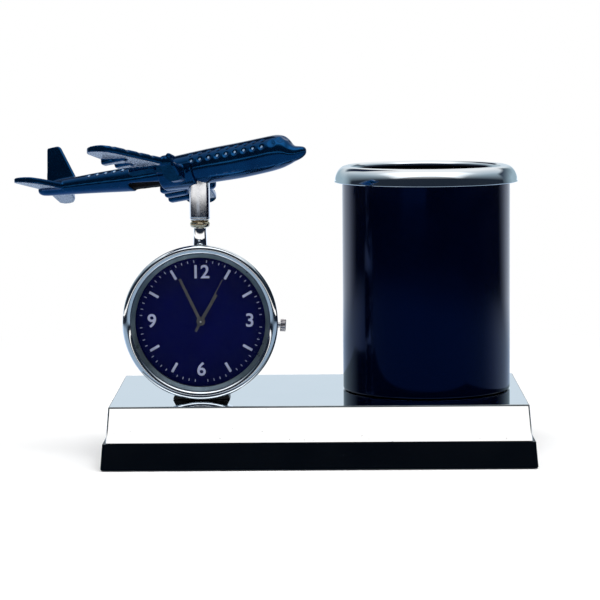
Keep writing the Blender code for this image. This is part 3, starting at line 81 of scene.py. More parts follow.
def take(piece):
    """Select one piece and make it active."""
    bpy.ops.object.select_all(action="DESELECT")
    piece.select_set(True)
    bpy.context.view_layer.objects.active = piece


def named_new(name):
    """Name the primitive that was just added."""
    piece = bpy.context.object
    piece.name = name
    piece.data.name = name
    return piece


def edit(piece):
    """Enter edit mode with nothing selected."""
    take(piece)
    bpy.ops.object.mode_set(mode="EDIT")
    bpy.ops.mesh.select_all(action="DESELECT")


def leave():
    """Return to object mode."""
    bpy.ops.object.mode_set(mode="OBJECT")


def pick_faces(piece, wanted):
    """In edit mode, select the faces whose middle and normal are wanted."""
    bpy.ops.mesh.select_mode(type="FACE")
    bpy.ops.mesh.select_all(action="DESELECT")
    shape = bmesh.from_edit_mesh(piece.data)
    for face in shape.faces:
        face.select_set(wanted(face.calc_center_median(), face.normal))
    shape.select_flush_mode()
    bmesh.update_edit_mesh(piece.data)


def pick_points(piece, wanted):
    """In edit mode, select the points whose place is wanted."""
    bpy.ops.mesh.select_mode(type="VERT")
    bpy.ops.mesh.select_all(action="DESELECT")
    shape = bmesh.from_edit_mesh(piece.data)
    for point in shape.verts:
        point.select_set(wanted(point.co))
    shape.select_flush_mode()
    bmesh.update_edit_mesh(piece.data)


def pick_edges(piece, wanted):
    """In edit mode, select the edges whose two ends are wanted."""
    bpy.ops.mesh.select_mode(type="EDGE")
    bpy.ops.mesh.select_all(action="DESELECT")
    shape = bmesh.from_edit_mesh(piece.data)
    for edge in shape.edges:
        edge.select_set(wanted(edge.verts[0].co, edge.verts[1].co))
    shape.select_flush_mode()
    bmesh.update_edit_mesh(piece.data)


def add_modifier(piece, kind, **values):
    """Give a piece a modifier and apply it."""
    take(piece)
    modifier = piece.modifiers.new(kind.lower(), kind)
    for key, value in values.items():
        setattr(modifier, key, value)
    bpy.ops.object.modifier_apply(modifier=modifier.name)


def ease(piece, width, steps=3, angle=35):
    """Round the edges of a piece."""
    add_modifier(piece, "BEVEL", width=width, segments=steps, limit_method="ANGLE",
                 angle_limit=math.radians(angle), use_clamp_overlap=True)


def firm(piece, area, margin=0.0003):
    """Run a narrow border round each large face, so that it shades flat up to its rounded edges."""
    edit(piece)
    bpy.ops.mesh.select_mode(type="FACE")
    shape = bmesh.from_edit_mesh(piece.data)
    for face in shape.faces:
        face.select_set(face.calc_area() > area)
    bmesh.update_edit_mesh(piece.data)
    bpy.ops.mesh.inset(thickness=margin, depth=0, use_individual=True)
    leave()


def face_out(piece):
    """Recalculate a piece's normals, so that they point outwards."""
    edit(piece)
    bpy.ops.mesh.select_all(action="SELECT")
    bpy.ops.mesh.normals_make_consistent(inside=False)
    leave()


def joined(name, pieces):
    """Make several shapes one object."""
    bpy.ops.object.select_all(action="DESELECT")
    for piece in pieces:
        piece.select_set(True)
    bpy.context.view_layer.objects.active = pieces[0]
    bpy.ops.object.join()
    return named_new(name)


def cut(piece, cutter, operation="DIFFERENCE"):
    """Cut one piece with another, or join it on, and drop the cutter."""
    add_modifier(piece, "BOOLEAN", object=cutter, operation=operation, solver="EXACT")
    bpy.data.objects.remove(cutter, do_unlink=True)


def settle(piece, matrix):
    """Move a piece to its place and keep that place in its mesh."""
    take(piece)
    piece.matrix_world = matrix @ piece.matrix_world
    bpy.ops.object.transform_apply(location=True, rotation=True, scale=True)


def block(name, size, middle, taper=0.0):
    """A block that narrows by taper on each side at its top."""
    bpy.ops.object.select_all(action="DESELECT")
    bpy.ops.mesh.primitive_cube_add(size=1, location=middle)
    piece = named_new(name)
    piece.scale = size
    bpy.ops.object.transform_apply(location=True, rotation=True, scale=True)
    if taper:
        edit(piece)
        pick_faces(piece, lambda at, facing: facing.z > 0.9)
        shares = ((size[0] - 2 * taper) / size[0], (size[1] - 2 * taper) / size[1], 1)
        top = (middle[0], middle[1], middle[2] + size[2] / 2)
        bpy.ops.transform.resize(value=shares, center_override=top)
        leave()
    return piece


def rod(name, radius, length, matrix, sides=SMALL_ROUND):
    """A round rod along its own Z from the matrix's origin."""
    bpy.ops.object.select_all(action="DESELECT")
    bpy.ops.mesh.primitive_cylinder_add(vertices=sides, radius=radius, depth=length,
                                        location=(0, 0, length / 2))
    piece = named_new(name)
    bpy.ops.object.transform_apply(location=True, rotation=True, scale=True)
    settle(piece, matrix)
    return piece


def arc(radius, height, reach, start, end, steps):
    """Profile points on an arc about (radius, height), in degrees from the outward direction."""
    turns = [math.radians(start + (end - start) * step / steps) for step in range(steps + 1)]
    return [(radius + reach * math.cos(turn), height + reach * math.sin(turn)) for turn in turns]


def eased(corners, steps=4):
    """Profile points from (radius, height, ease) corners, each rounded by its ease."""
    points = []
    for index, (radius, height, width) in enumerate(corners):
        corner = Vector((radius, height))
        if not width:
            points.append(tuple(corner))
            continue
        before = Vector(corners[index - 1][:2])
        after = Vector(corners[(index + 1) % len(corners)][:2])
        start = corner + (before - corner).normalized() * width
        end = corner + (after - corner).normalized() * width
        for step in range(steps + 1):
            share = step / steps
            points.append(tuple(start * (1 - share) ** 2 + corner * 2 * share * (1 - share)
                                + end * share ** 2))
    return points


def turned(name, profile, matrix=UPRIGHT, steps=SPIN_STEPS):
    """Draw a profile point by point from one vertex, then spin it about its axis."""
    bpy.ops.object.select_all(action="DESELECT")
    bpy.ops.mesh.primitive_plane_add(size=0.001)
    piece = named_new(name)
    bpy.ops.object.mode_set(mode="EDIT")
    bpy.ops.mesh.select_mode(type="VERT")
    bpy.ops.mesh.select_all(action="SELECT")
    bpy.ops.mesh.merge(type="CENTER")
    bpy.ops.transform.translate(value=(profile[0][0], 0, profile[0][1]))
    for (radius, height), (next_radius, next_height) in zip(profile, profile[1:]):
        step = (next_radius - radius, 0, next_height - height)
        bpy.ops.mesh.extrude_vertices_move(TRANSFORM_OT_translate={"value": step})
    bpy.ops.mesh.select_all(action="SELECT")
    bpy.ops.mesh.remove_doubles(threshold=WELD)
    bpy.ops.mesh.spin(steps=steps, angle=math.radians(360), center=(0, 0, 0), axis=(0, 0, 1))
    bpy.ops.mesh.select_all(action="SELECT")
    bpy.ops.mesh.remove_doubles(threshold=WELD)
    bpy.ops.mesh.normals_make_consistent(inside=False)
    leave()
    settle(piece, matrix)
    return piece


def ring(name, corners, matrix=UPRIGHT, steps=SPIN_STEPS):
    """A turned ring from a closed profile of (radius, height, ease) corners."""
    profile = eased(corners)
    return turned(name, profile + profile[:1], matrix, steps)


def finished(piece, finish, body, nodes=(), angle=30):
    """Shade a piece, give it its finish and let it ride on its body."""
    take(piece)
    bpy.ops.object.shade_smooth_by_angle(angle=math.radians(angle))
    piece.data.materials.clear()
    piece.data.materials.append(FINISHES[finish])
    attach(piece, body)
    if nodes:
        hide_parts(*nodes)
    return piece


# ---------------------------------------------------------------- finishes


def finish_base(name, colour, roughness, metallic=0.0, specular=0.5):
    """A shader with its plain values."""
    material = bpy.data.materials.new(name)
    material.use_nodes = True
    shader = material.node_tree.nodes["Principled BSDF"]
    shader.inputs["Base Color"].default_value = (*colour, 1)
    shader.inputs["Roughness"].default_value = roughness
    shader.inputs["Metallic"].default_value = metallic
    shader.inputs["Specular IOR Level"].default_value = specular
    return material, material.node_tree, shader


def grain(tree, scale, detail=3.0, stretch=(1, 1, 1)):
    """Noise in the piece's own coordinates, with scale in grains per metre."""
    place = tree.nodes.new("ShaderNodeTexCoord")
    mapping = tree.nodes.new("ShaderNodeMapping")
    mapping.inputs["Scale"].default_value = stretch
    noise = tree.nodes.new("ShaderNodeTexNoise")
    noise.inputs["Scale"].default_value = scale
    noise.inputs["Detail"].default_value = detail
    tree.links.new(place.outputs["Object"], mapping.inputs["Vector"])
    tree.links.new(mapping.outputs["Vector"], noise.inputs["Vector"])
    return noise.outputs["Fac"]


def spread(tree, source, low, high, start=0.3, end=0.7):
    """Spread a pattern between two values."""
    ranged = tree.nodes.new("ShaderNodeMapRange")
    ranged.inputs["From Min"].default_value = start
    ranged.inputs["From Max"].default_value = end
    ranged.inputs["To Min"].default_value = low
    ranged.inputs["To Max"].default_value = high
    tree.links.new(source, ranged.inputs["Value"])
    return ranged.outputs["Result"]


def blend(tree, share, first, second):
    """Mix two colours by a pattern."""
    mix = tree.nodes.new("ShaderNodeMix")
    mix.data_type = "RGBA"
    tree.links.new(share, mix.inputs["Factor"])
    for value, name in ((first, "A"), (second, "B")):
        socket = [entry for entry in mix.inputs if entry.name == name and entry.type == "RGBA"][0]
        if isinstance(value, tuple):
            socket.default_value = (*value, 1)
        else:
            tree.links.new(value, socket)
    return [entry for entry in mix.outputs if entry.type == "RGBA"][0]


def emboss(tree, shader, height, depth, strength=1.0):
    """Raise a pattern from the surface by depth, on top of any that is there."""
    bump = tree.nodes.new("ShaderNodeBump")
    bump.inputs["Distance"].default_value = depth
    bump.inputs["Strength"].default_value = strength
    tree.links.new(height, bump.inputs["Height"])
    if shader.inputs["Normal"].is_linked:
        tree.links.new(shader.inputs["Normal"].links[0].from_socket, bump.inputs["Normal"])
    tree.links.new(bump.outputs["Normal"], shader.inputs["Normal"])


def reckon(tree, operation, first, second=0.0):
    """One sum on patterns or plain values."""
    node = tree.nodes.new("ShaderNodeMath")
    node.operation = operation
    for value, entry in ((first, node.inputs[0]), (second, node.inputs[1])):
        if isinstance(value, float):
            entry.default_value = value
        else:
            tree.links.new(value, entry)
    return node.outputs[0]


def product(tree, *factors):
    """Multiply patterns."""
    total = factors[0]
    for factor in factors[1:]:
        total = reckon(tree, "MULTIPLY", total, factor)
    return total


def larger(tree, first, second):
    """The larger of two patterns."""
    return reckon(tree, "MAXIMUM", first, second)


def rising(tree, source, start, end):
    """From nought to one as a value goes from start to end."""
    return spread(tree, source, 0, 1, start, end)


def falling(tree, source, start, end):
    """From one to nought as a value goes from start to end."""
    return spread(tree, source, 1, 0, start, end)


def mottled(name, colour, roughness, tones, tone_grain, gloss, gloss_grain, relief, relief_grain,
            metallic=0.0, specular=0.5, tone_span=(0.3, 0.7), others=None):
    """A finish uneven in tone and gloss, with a fine relief."""
    material, tree, shader = finish_base(name, colour, roughness, metallic, specular)
    for socket, value in (others or {}).items():
        shader.inputs[socket].default_value = value
    tone = rising(tree, grain(tree, *tone_grain), *tone_span)
    tree.links.new(blend(tree, tone, *tones), shader.inputs["Base Color"])
    tree.links.new(spread(tree, grain(tree, *gloss_grain), *gloss), shader.inputs["Roughness"])
    emboss(tree, shader, grain(tree, *relief_grain), relief)
    return material


def pitted(material, scale, start, end, depth):
    """Scatter tiny pits over a finish."""
    tree = material.node_tree
    pits = rising(tree, grain(tree, scale, 1), start, end)
    emboss(tree, tree.nodes["Principled BSDF"], pits, depth, 0.5)
    return material


# Rows of cabin window dents by place along the body, which also place the painted glints: the first, the pitch and
# the count
WINDOWS_AHEAD = (-0.0003, 0.004325, 9)
WINDOWS_BEHIND = (-0.0541, 0.00445, 5)
GLINT_REACH = (0.00040, 0.00066)


def painted_glint_row(tree, along, height, row, level, slope):
    """A row of small round painted glints at the cabin window dents along the body: one inside each spot, nought
    outside.
    """
    first, pitch, count = row
    past = reckon(tree, "SUBTRACT", along, first)
    step = reckon(tree, "DIVIDE", past, pitch)
    nearest = reckon(tree, "ROUND", step)
    aside = reckon(tree, "MULTIPLY", reckon(tree, "SUBTRACT", step, nearest), pitch)
    line = reckon(tree, "ADD", reckon(tree, "MULTIPLY", past, slope), level)
    away = reckon(tree, "SUBTRACT", height, line)
    reach = reckon(tree, "SQRT", reckon(tree, "ADD", product(tree, aside, aside), product(tree, away, away)))
    return product(tree, falling(tree, reach, *GLINT_REACH), rising(tree, nearest, -0.6, -0.4),
                   falling(tree, nearest, count - 0.6, count - 0.4))


def airliner_enamel():
    """Midnight blue enamel on a rough casting, lighter on sharp edges where the paint runs thin and as a painted
    highlight, with painted glints at the cabin window dents.
    """
    material, tree, shader = finish_base("midnight blue metallic enamel", (0.002, 0.050, 0.140), 0.10,
                                         metallic=0.92, specular=0.4)
    edges = tree.nodes.new("ShaderNodeNewGeometry").outputs["Pointiness"]
    coat = blend(tree, spread(tree, grain(tree, 90, 4), 0, 1), (0.0015, 0.0360, 0.1150), (0.0025, 0.0500, 0.1500))
    # Lighter on sharp edges: partly paint rubbed thin, partly a painted highlight along them
    coat = blend(tree, rising(tree, edges, 0.56, 0.70), coat, (0.030, 0.085, 0.190))
    place = tree.nodes.new("ShaderNodeTexCoord")
    home = tree.nodes.new("ShaderNodeMapping")
    home.inputs["Location"].default_value = PLANE.inverted().translation
    home.inputs["Rotation"].default_value = PLANE.inverted().to_euler()
    split = tree.nodes.new("ShaderNodeSeparateXYZ")
    tree.links.new(place.outputs["Object"], home.inputs["Vector"])
    tree.links.new(home.outputs["Vector"], split.inputs["Vector"])
    along, height = split.outputs["X"], split.outputs["Z"]
    # Painted glints: pale, barely metallic spots at the cabin window dents, standing in for highlights in the dents
    painted_glints = larger(tree, painted_glint_row(tree, along, height, WINDOWS_AHEAD, 0.00115, 0.009),
                     painted_glint_row(tree, along, height, WINDOWS_BEHIND, 0.00440, -0.026))
    painted_glints = product(tree, painted_glints, spread(tree, grain(tree, 500, 2), 0.75, 1.0))
    tree.links.new(blend(tree, painted_glints, coat, (0.24, 0.36, 0.52)), shader.inputs["Base Color"])
    tree.links.new(spread(tree, painted_glints, 0.92, 0.10, 0.0, 1.0), shader.inputs["Metallic"])
    tree.links.new(spread(tree, grain(tree, 260, 3), 0.06, 0.16), shader.inputs["Roughness"])
    emboss(tree, shader, grain(tree, 300, 2), 0.000020)
    emboss(tree, shader, grain(tree, 110, 2), 0.000060)
    return material


def spun_steel():
    """Steel spun on a lathe, with rings about the clock's own axis."""
    material, tree, shader = finish_base("spun steel", (0.56, 0.56, 0.57), 0.30, metallic=1.0)
    place = tree.nodes.new("ShaderNodeTexCoord")
    mapping = tree.nodes.new("ShaderNodeMapping")
    mapping.inputs["Location"].default_value = (-CLOCK_PLACE[0], 0, -CLOCK_PLACE[2])
    mapping.inputs["Scale"].default_value = (1, 0, 1)
    wave = tree.nodes.new("ShaderNodeTexWave")
    wave.wave_type = "RINGS"
    wave.rings_direction = "SPHERICAL"
    wave.inputs["Scale"].default_value = 900
    wave.inputs["Distortion"].default_value = 1.5
    wave.inputs["Detail"].default_value = 3
    tree.links.new(place.outputs["Object"], mapping.inputs["Vector"])
    tree.links.new(mapping.outputs["Vector"], wave.inputs["Vector"])
    rings = wave.outputs["Fac"]
    tree.links.new(blend(tree, rings, (0.50, 0.50, 0.52), (0.62, 0.62, 0.63)), shader.inputs["Base Color"])
    tree.links.new(spread(tree, grain(tree, 120, 4), 0.22, 0.40), shader.inputs["Roughness"])
    emboss(tree, shader, rings, 0.000002)
    return material


def crown_steel():
    """Dull reddish steel of the crown, with painted shade dark in its flutes and lighter on its ridges."""
    material, tree, shader = finish_base("dull crown steel", (0.25, 0.22, 0.22), 0.36, metallic=1.0)
    edges = tree.nodes.new("ShaderNodeNewGeometry").outputs["Pointiness"]
    # Painted shade: darker in the concave flutes, lighter on the ridges, by pointiness
    painted_flute_shade = rising(tree, edges, 0.44, 0.56)
    tree.links.new(blend(tree, painted_flute_shade, (0.10, 0.09, 0.09), (0.56, 0.52, 0.53)), shader.inputs["Base Color"])
    tree.links.new(spread(tree, grain(tree, 500, 3), 0.22, 0.40), shader.inputs["Roughness"])
    emboss(tree, shader, grain(tree, 500, 2), 0.000004)
    return material


def black_felt():
    """Pressed felt with matted fibres."""
    material, tree, shader = finish_base("black felt", (0.02, 0.02, 0.022), 0.95, specular=0.2)
    shader.inputs["Sheen Weight"].default_value = 0.3
    fibre = grain(tree, 2400, 6, (1, 0.35, 1))
    cross = grain(tree, 2000, 6, (0.35, 1, 1))
    tree.links.new(blend(tree, spread(tree, fibre, 0, 1), (0.012, 0.012, 0.014), (0.040, 0.040, 0.044)),
                   shader.inputs["Base Color"])
    tree.links.new(spread(tree, cross, 0.85, 1.0), shader.inputs["Roughness"])
    emboss(tree, shader, fibre, 0.00008)
    emboss(tree, shader, cross, 0.00008)
    return material


FINISHES = {
    # Bright plate with faint smears, orange peel and a few pits
    "chrome": pitted(mottled(
        "polished chrome", (0.80, 0.84, 0.88), 0.05, tones=((0.78, 0.83, 0.87), (0.84, 0.87, 0.90)),
        tone_grain=(25,), gloss=(0.03, 0.09), gloss_grain=(60, 4, (1, 1, 2.5)),
        relief=0.000004, relief_grain=(150, 2), metallic=1.0), 600, 0.70, 0.80, 0.000008),
    # Flat bright sheet, mirror smooth, with faint smears and a few pits
    "cover_chrome": pitted(mottled(
        "bright cover sheet", (0.82, 0.85, 0.88), 0.03, tones=((0.80, 0.84, 0.87), (0.84, 0.87, 0.90)),
        tone_grain=(25,), gloss=(0.02, 0.04), gloss_grain=(60, 4, (1, 1, 2.5)),
        relief=0.0000006, relief_grain=(60, 2), metallic=1.0), 900, 0.74, 0.80, 0.000004),
    # Dark, dull plate along the cover's sloped top edges: a painted dark reflection
    "painted_dark_edge": mottled(
        "plate with painted dark reflection at the fold", (0.14, 0.16, 0.17), 0.30, tones=((0.10, 0.12, 0.13), (0.17, 0.19, 0.20)),
        tone_grain=(120, 4, (1, 3, 3)), gloss=(0.24, 0.38), gloss_grain=(300, 3),
        relief=0.000001, relief_grain=(700, 2, (1, 3, 3)), metallic=1.0),
    # Thin plate over a coarser tube, with pits and a greyer tone
    "pitted_chrome": mottled(
        "pitted chrome", (0.74, 0.77, 0.82), 0.10, tones=((0.66, 0.69, 0.75), (0.80, 0.83, 0.87)),
        tone_grain=(260, 4), gloss=(0.06, 0.16), gloss_grain=(160, 4, (1, 1, 0.4)),
        relief=0.000020, relief_grain=(300, 3, (1, 1, 0.5)), metallic=1.0),
    # Moulded gloss black with dust and fine wipe marks
    "gloss_black": mottled(
        "gloss black moulding", (0.0004, 0.0014, 0.0034), 0.16,
        tones=((0.0003, 0.0013, 0.0032), (0.012, 0.016, 0.020)),
        tone_grain=(1400, 2), tone_span=(0.70, 0.80), gloss=(0.10, 0.24), gloss_grain=(45, 5, (1, 3, 1)),
        relief=0.000008, relief_grain=(160, 3), specular=0.03),
    # Deep navy stove enamel, a little uneven in depth and gloss
    "navy_enamel": mottled(
        "deep navy enamel", (0.0001, 0.0006, 0.005), 0.08,
        tones=((0.0001, 0.0004, 0.0038), (0.0001, 0.0008, 0.0062)),
        tone_grain=(22, 3, (1, 1, 0.4)), gloss=(0.07, 0.14), gloss_grain=(70, 4),
        relief=0.000006, relief_grain=(120, 2), specular=0.26, others={"Specular Tint": (0.05, 0.22, 1.0, 1)}),
    # Gloss navy print on the dial
    "dial_navy": mottled(
        "navy dial print", (0.0002, 0.0010, 0.046), 0.30, tones=((0.0001, 0.0008, 0.040), (0.0003, 0.0014, 0.052)),
        tone_grain=(60, 4), gloss=(0.26, 0.38), gloss_grain=(240, 3),
        relief=0.000001, relief_grain=(600, 2), specular=0.05),
    "airliner_blue": airliner_enamel(),
    # Pale dull blue-grey under the wings and tail: a painted reflection of the pale floor seen at a grazing angle
    "painted_pale_underside": mottled(
        "pale underside with painted reflection", (0.13, 0.17, 0.25), 0.26, tones=((0.115, 0.155, 0.230), (0.145, 0.185, 0.275)),
        tone_grain=(120, 4), gloss=(0.20, 0.30), gloss_grain=(300, 3),
        relief=0.000006, relief_grain=(300, 2), specular=0.60),
    # Dull navy painted shade on down-facing faces under the wing root and at the far wing tip
    "painted_shade_navy": mottled(
        "navy painted shade underneath", (0.001, 0.018, 0.055), 0.50, tones=((0.001, 0.014, 0.045), (0.002, 0.024, 0.070)),
        tone_grain=(120, 4), gloss=(0.44, 0.58), gloss_grain=(300, 3),
        relief=0.000010, relief_grain=(300, 2), specular=0.0),
    # Dead black painted shade in the deep hollow under the belly
    "painted_shade_black": mottled(
        "black painted shade in the recess", (0.002, 0.002, 0.003), 0.70, tones=((0.001, 0.001, 0.002), (0.004, 0.004, 0.006)),
        tone_grain=(300, 4), gloss=(0.60, 0.80), gloss_grain=(400, 3),
        relief=0.000010, relief_grain=(900, 2), specular=0.08),
    # Brass-coloured plate, tarnished in patches
    "brass": mottled(
        "yellow brass", (0.66, 0.58, 0.42), 0.16, tones=((0.70, 0.60, 0.42), (0.46, 0.36, 0.20)),
        tone_grain=(260, 4), tone_span=(0.50, 0.70), gloss=(0.10, 0.24), gloss_grain=(300, 3),
        relief=0.000004, relief_grain=(300, 2), metallic=1.0),
    # Plated steel with a fine drawn grain
    "steel": mottled(
        "plated steel", (0.56, 0.56, 0.57), 0.28, tones=((0.48, 0.48, 0.50), (0.64, 0.64, 0.65)),
        tone_grain=(900, 3, (1, 1, 0.15)), gloss=(0.20, 0.38), gloss_grain=(300, 4),
        relief=0.000002, relief_grain=(900, 3, (1, 1, 0.15)), metallic=1.0),
    # Blue-grey satin plate of the dial's sloped flange
    "flange_grey": mottled(
        "blue-grey flange plate", (0.10, 0.14, 0.17), 0.34, tones=((0.075, 0.105, 0.130), (0.125, 0.165, 0.195)),
        tone_grain=(200, 4), gloss=(0.26, 0.42), gloss_grain=(300, 3),
        relief=0.000002, relief_grain=(400, 2), metallic=0.8),
    "crown_steel": crown_steel(),
    "spun_steel": spun_steel(),
    # Satin gunmetal of the hands
    "hand_grey": mottled(
        "satin gunmetal", (0.07, 0.07, 0.07), 0.42, tones=((0.058, 0.058, 0.058), (0.095, 0.092, 0.088)),
        tone_grain=(700, 3, (1, 1, 0.3)), gloss=(0.34, 0.50), gloss_grain=(500, 3),
        relief=0.000002, relief_grain=(700, 3, (1, 1, 0.3)), metallic=0.3, specular=0.3),
    # Satin black moulding
    "black_plastic": mottled(
        "satin black moulding", (0.008, 0.008, 0.009), 0.40, tones=((0.006, 0.006, 0.007), (0.014, 0.014, 0.015)),
        tone_grain=(500, 4), gloss=(0.32, 0.50), gloss_grain=(300, 3),
        relief=0.000008, relief_grain=(2600, 2), specular=0.35),
    # Dull black rubber with a bloom
    "rubber": mottled(
        "black rubber", (0.02, 0.02, 0.02), 0.75, tones=((0.018, 0.018, 0.018), (0.035, 0.035, 0.036)),
        tone_grain=(400, 4), gloss=(0.65, 0.85), gloss_grain=(500, 3),
        relief=0.000010, relief_grain=(3000, 2), specular=0.3),
    "felt": black_felt(),
    # Raw pressed board with chips and dust
    "board": mottled(
        "fibre board", (0.42, 0.30, 0.18), 0.85, tones=((0.32, 0.21, 0.12), (0.52, 0.39, 0.25)),
        tone_grain=(900, 6, (1, 1, 2)), gloss=(0.75, 0.95), gloss_grain=(900, 6, (1, 1, 2)),
        relief=0.00008, relief_grain=(900, 6, (1, 1, 2)), specular=0.2),
    # Natural white moulding, a little translucent in tone
    "white_plastic": mottled(
        "natural white moulding", (0.72, 0.72, 0.69), 0.45, tones=((0.66, 0.66, 0.62), (0.76, 0.76, 0.73)),
        tone_grain=(150, 4), gloss=(0.36, 0.55), gloss_grain=(400, 3), relief=0.000008, relief_grain=(1800, 3)),
    # Grained movement plates
    "movement_metal": mottled(
        "grained movement plate", (0.60, 0.54, 0.38), 0.35, tones=((0.52, 0.46, 0.31), (0.68, 0.61, 0.45)),
        tone_grain=(1200, 3, (0.12, 1, 1)), gloss=(0.26, 0.44), gloss_grain=(1200, 3, (0.12, 1, 1)),
        relief=0.000006, relief_grain=(1200, 3, (0.12, 1, 1)), metallic=1.0),
    # Clear mineral crystal with faint wipe marks
    "crystal": mottled(
        "mineral crystal", (0.01, 0.02, 0.04), 0.03, tones=((0.005, 0.010, 0.030), (0.010, 0.020, 0.040)),
        tone_grain=(50,), gloss=(0.01, 0.06), gloss_grain=(90, 4, (1, 1, 3)),
        relief=0.000001, relief_grain=(60, 2), specular=0.15, others={"Alpha": 0.05}),
    # Pale lilac-grey ink of the dial's figures and marks
    "dial_ink": mottled(
        "pale dial ink", (0.42, 0.45, 0.66), 0.5, tones=((0.38, 0.42, 0.62), (0.46, 0.50, 0.70)),
        tone_grain=(700, 4), gloss=(0.42, 0.60), gloss_grain=(900, 3),
        relief=0.000003, relief_grain=(4000, 2), specular=0.2),
}


def dress_nodes():
    """Give each solid that stays its finish."""
    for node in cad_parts.values():
        for entry in node.material_slots:
            entry.material = FINISHES[entry.material.name.split(".")[0]]


# ---------------------------------------------------------------- base


def screw_holes(piece, radius, bottom, length):
    """Cut the holes of the four board screws."""
    for x in (-BOARD_SCREW_X, BOARD_SCREW_X):
        for y in (-BOARD_SCREW_Y, BOARD_SCREW_Y):
            cut(piece, rod("screw_hole", radius, length, Matrix.Translation((x, y, bottom)), HOLE_ROUND))


def bolt_holes(piece, radius, bottom, length):
    """Cut the holes of the two long bolts."""
    for x, y in ((CUP_X, CUP_Y), POST_PLACE[:2]):
        cut(piece, rod("bolt_hole", radius, length, Matrix.Translation((x, y, bottom)), HOLE_ROUND))


def plinth():
    """Gloss black moulded plinth, hollowed for its pad and counterbored for its fasteners."""
    length, depth, height, bottom, taper = 0.1890, 0.1063, 0.0115, 0.0003, 0.0010
    piece = block("gloss_plinth", (length, depth, height), (0, 0, bottom + height / 2), taper)
    edit(piece)
    pick_edges(piece, lambda a, b: min(a.z, b.z) < 0.002)
    bpy.ops.mesh.bevel(offset=0.0011, segments=5, affect="EDGES")
    leave()
    ease(piece, 0.0003, 3)
    firm(piece, 0.0008, 0.0001)
    edit(piece)
    pick_faces(piece, lambda at, facing: facing.z < -0.999 and abs(at.y) < 0.04)
    bpy.ops.mesh.inset(thickness=0.0033, depth=0)
    pad_recess = 0.0010
    bpy.ops.mesh.extrude_region_move(TRANSFORM_OT_translate={"value": (0, 0, pad_recess)})
    leave()
    screw_holes(piece, 0.0014, pad_recess, 0.0130)
    screw_holes(piece, 0.0027, pad_recess, 0.0023)
    bolt_holes(piece, BOLT_HOLE, pad_recess, 0.0130)
    bolt_holes(piece, 0.0031, pad_recess, 0.0027)
    finished(piece, "gloss_black", "base", ["plinth"])


def bright_cover():
    """Bright sheet folded down on four sides, open below."""
    length, depth, height, foot, taper, sheet = 0.1842, 0.1016, 0.01555, 0.0121, 0.0013, 0.0006
    piece = block("bright_cover", (length, depth, height), (0, 0, foot + height / 2), taper)
    edit(piece)
    pick_faces(piece, lambda at, facing: facing.z < -0.9)
    bpy.ops.mesh.delete(type="FACE")
    leave()
    ease(piece, 0.0006, 6)
    firm(piece, 0.0010, 0.0001)
    add_modifier(piece, "SOLIDIFY", thickness=sheet, offset=-1, use_even_offset=True)
    bolt_holes(piece, BOLT_HOLE, 0.0260, 0.0030)
    finished(piece, "cover_chrome", "base", ["base_cover"])
    # Painted dark reflection along the sloped top edges of the cover
    paint_faces(piece, "painted_dark_edge", lambda at, facing: 0.10 < facing.z < 0.985 and at.z > 0.0262, UPRIGHT)


def tumbler():
    """Drawn tumbler with a rolled foot edge and a bolt hole in its floor."""
    outer, inner, foot, floor, lip = 0.0375, 0.0368, 0.02795, 0.02885, 0.12560
    profile = eased([
        (BOLT_HOLE, foot, 0), (outer, foot, 0.0009), (outer, lip, 0), (inner, lip, 0),
        (inner, floor, 0.0010), (BOLT_HOLE, floor, 0)], 6)
    piece = turned("navy_tumbler", profile + profile[:1], CUP, WIDE_ROUND)
    finished(piece, "navy_enamel", "base", ["cup_shell"])


def tumbler_ring():
    """Bright ring pressed over the lip: a quarter-round cap outside, open inside below its inner edge."""
    crest = 0.0358
    inner = [(crest - 0.0024 * math.cos(math.radians(turn)), 0.1263 + 0.0020 * math.sin(math.radians(turn)))
             for turn in range(0, 90, 9)]
    outer = [(crest + 0.0053 * math.sin(math.radians(turn)), 0.1197 + 0.0084 * math.cos(math.radians(turn)))
             for turn in range(0, 81, 4)]
    foot = [(0.04106, 0.12108), (0.04098, 0.12092), (0.0406, 0.12080), (0.0398, 0.12075), (0.0377, 0.12085),
            (0.0377, 0.12590), (0.0366, 0.12590), (0.0366, 0.12550), (0.0341, 0.12570), (0.0336, 0.12595)]
    profile = inner + outer + foot
    piece = turned("tumbler_ring", profile + profile[:1], CUP, LARGE_ROUND)
    finished(piece, "chrome", "base", ["cup_rim"])


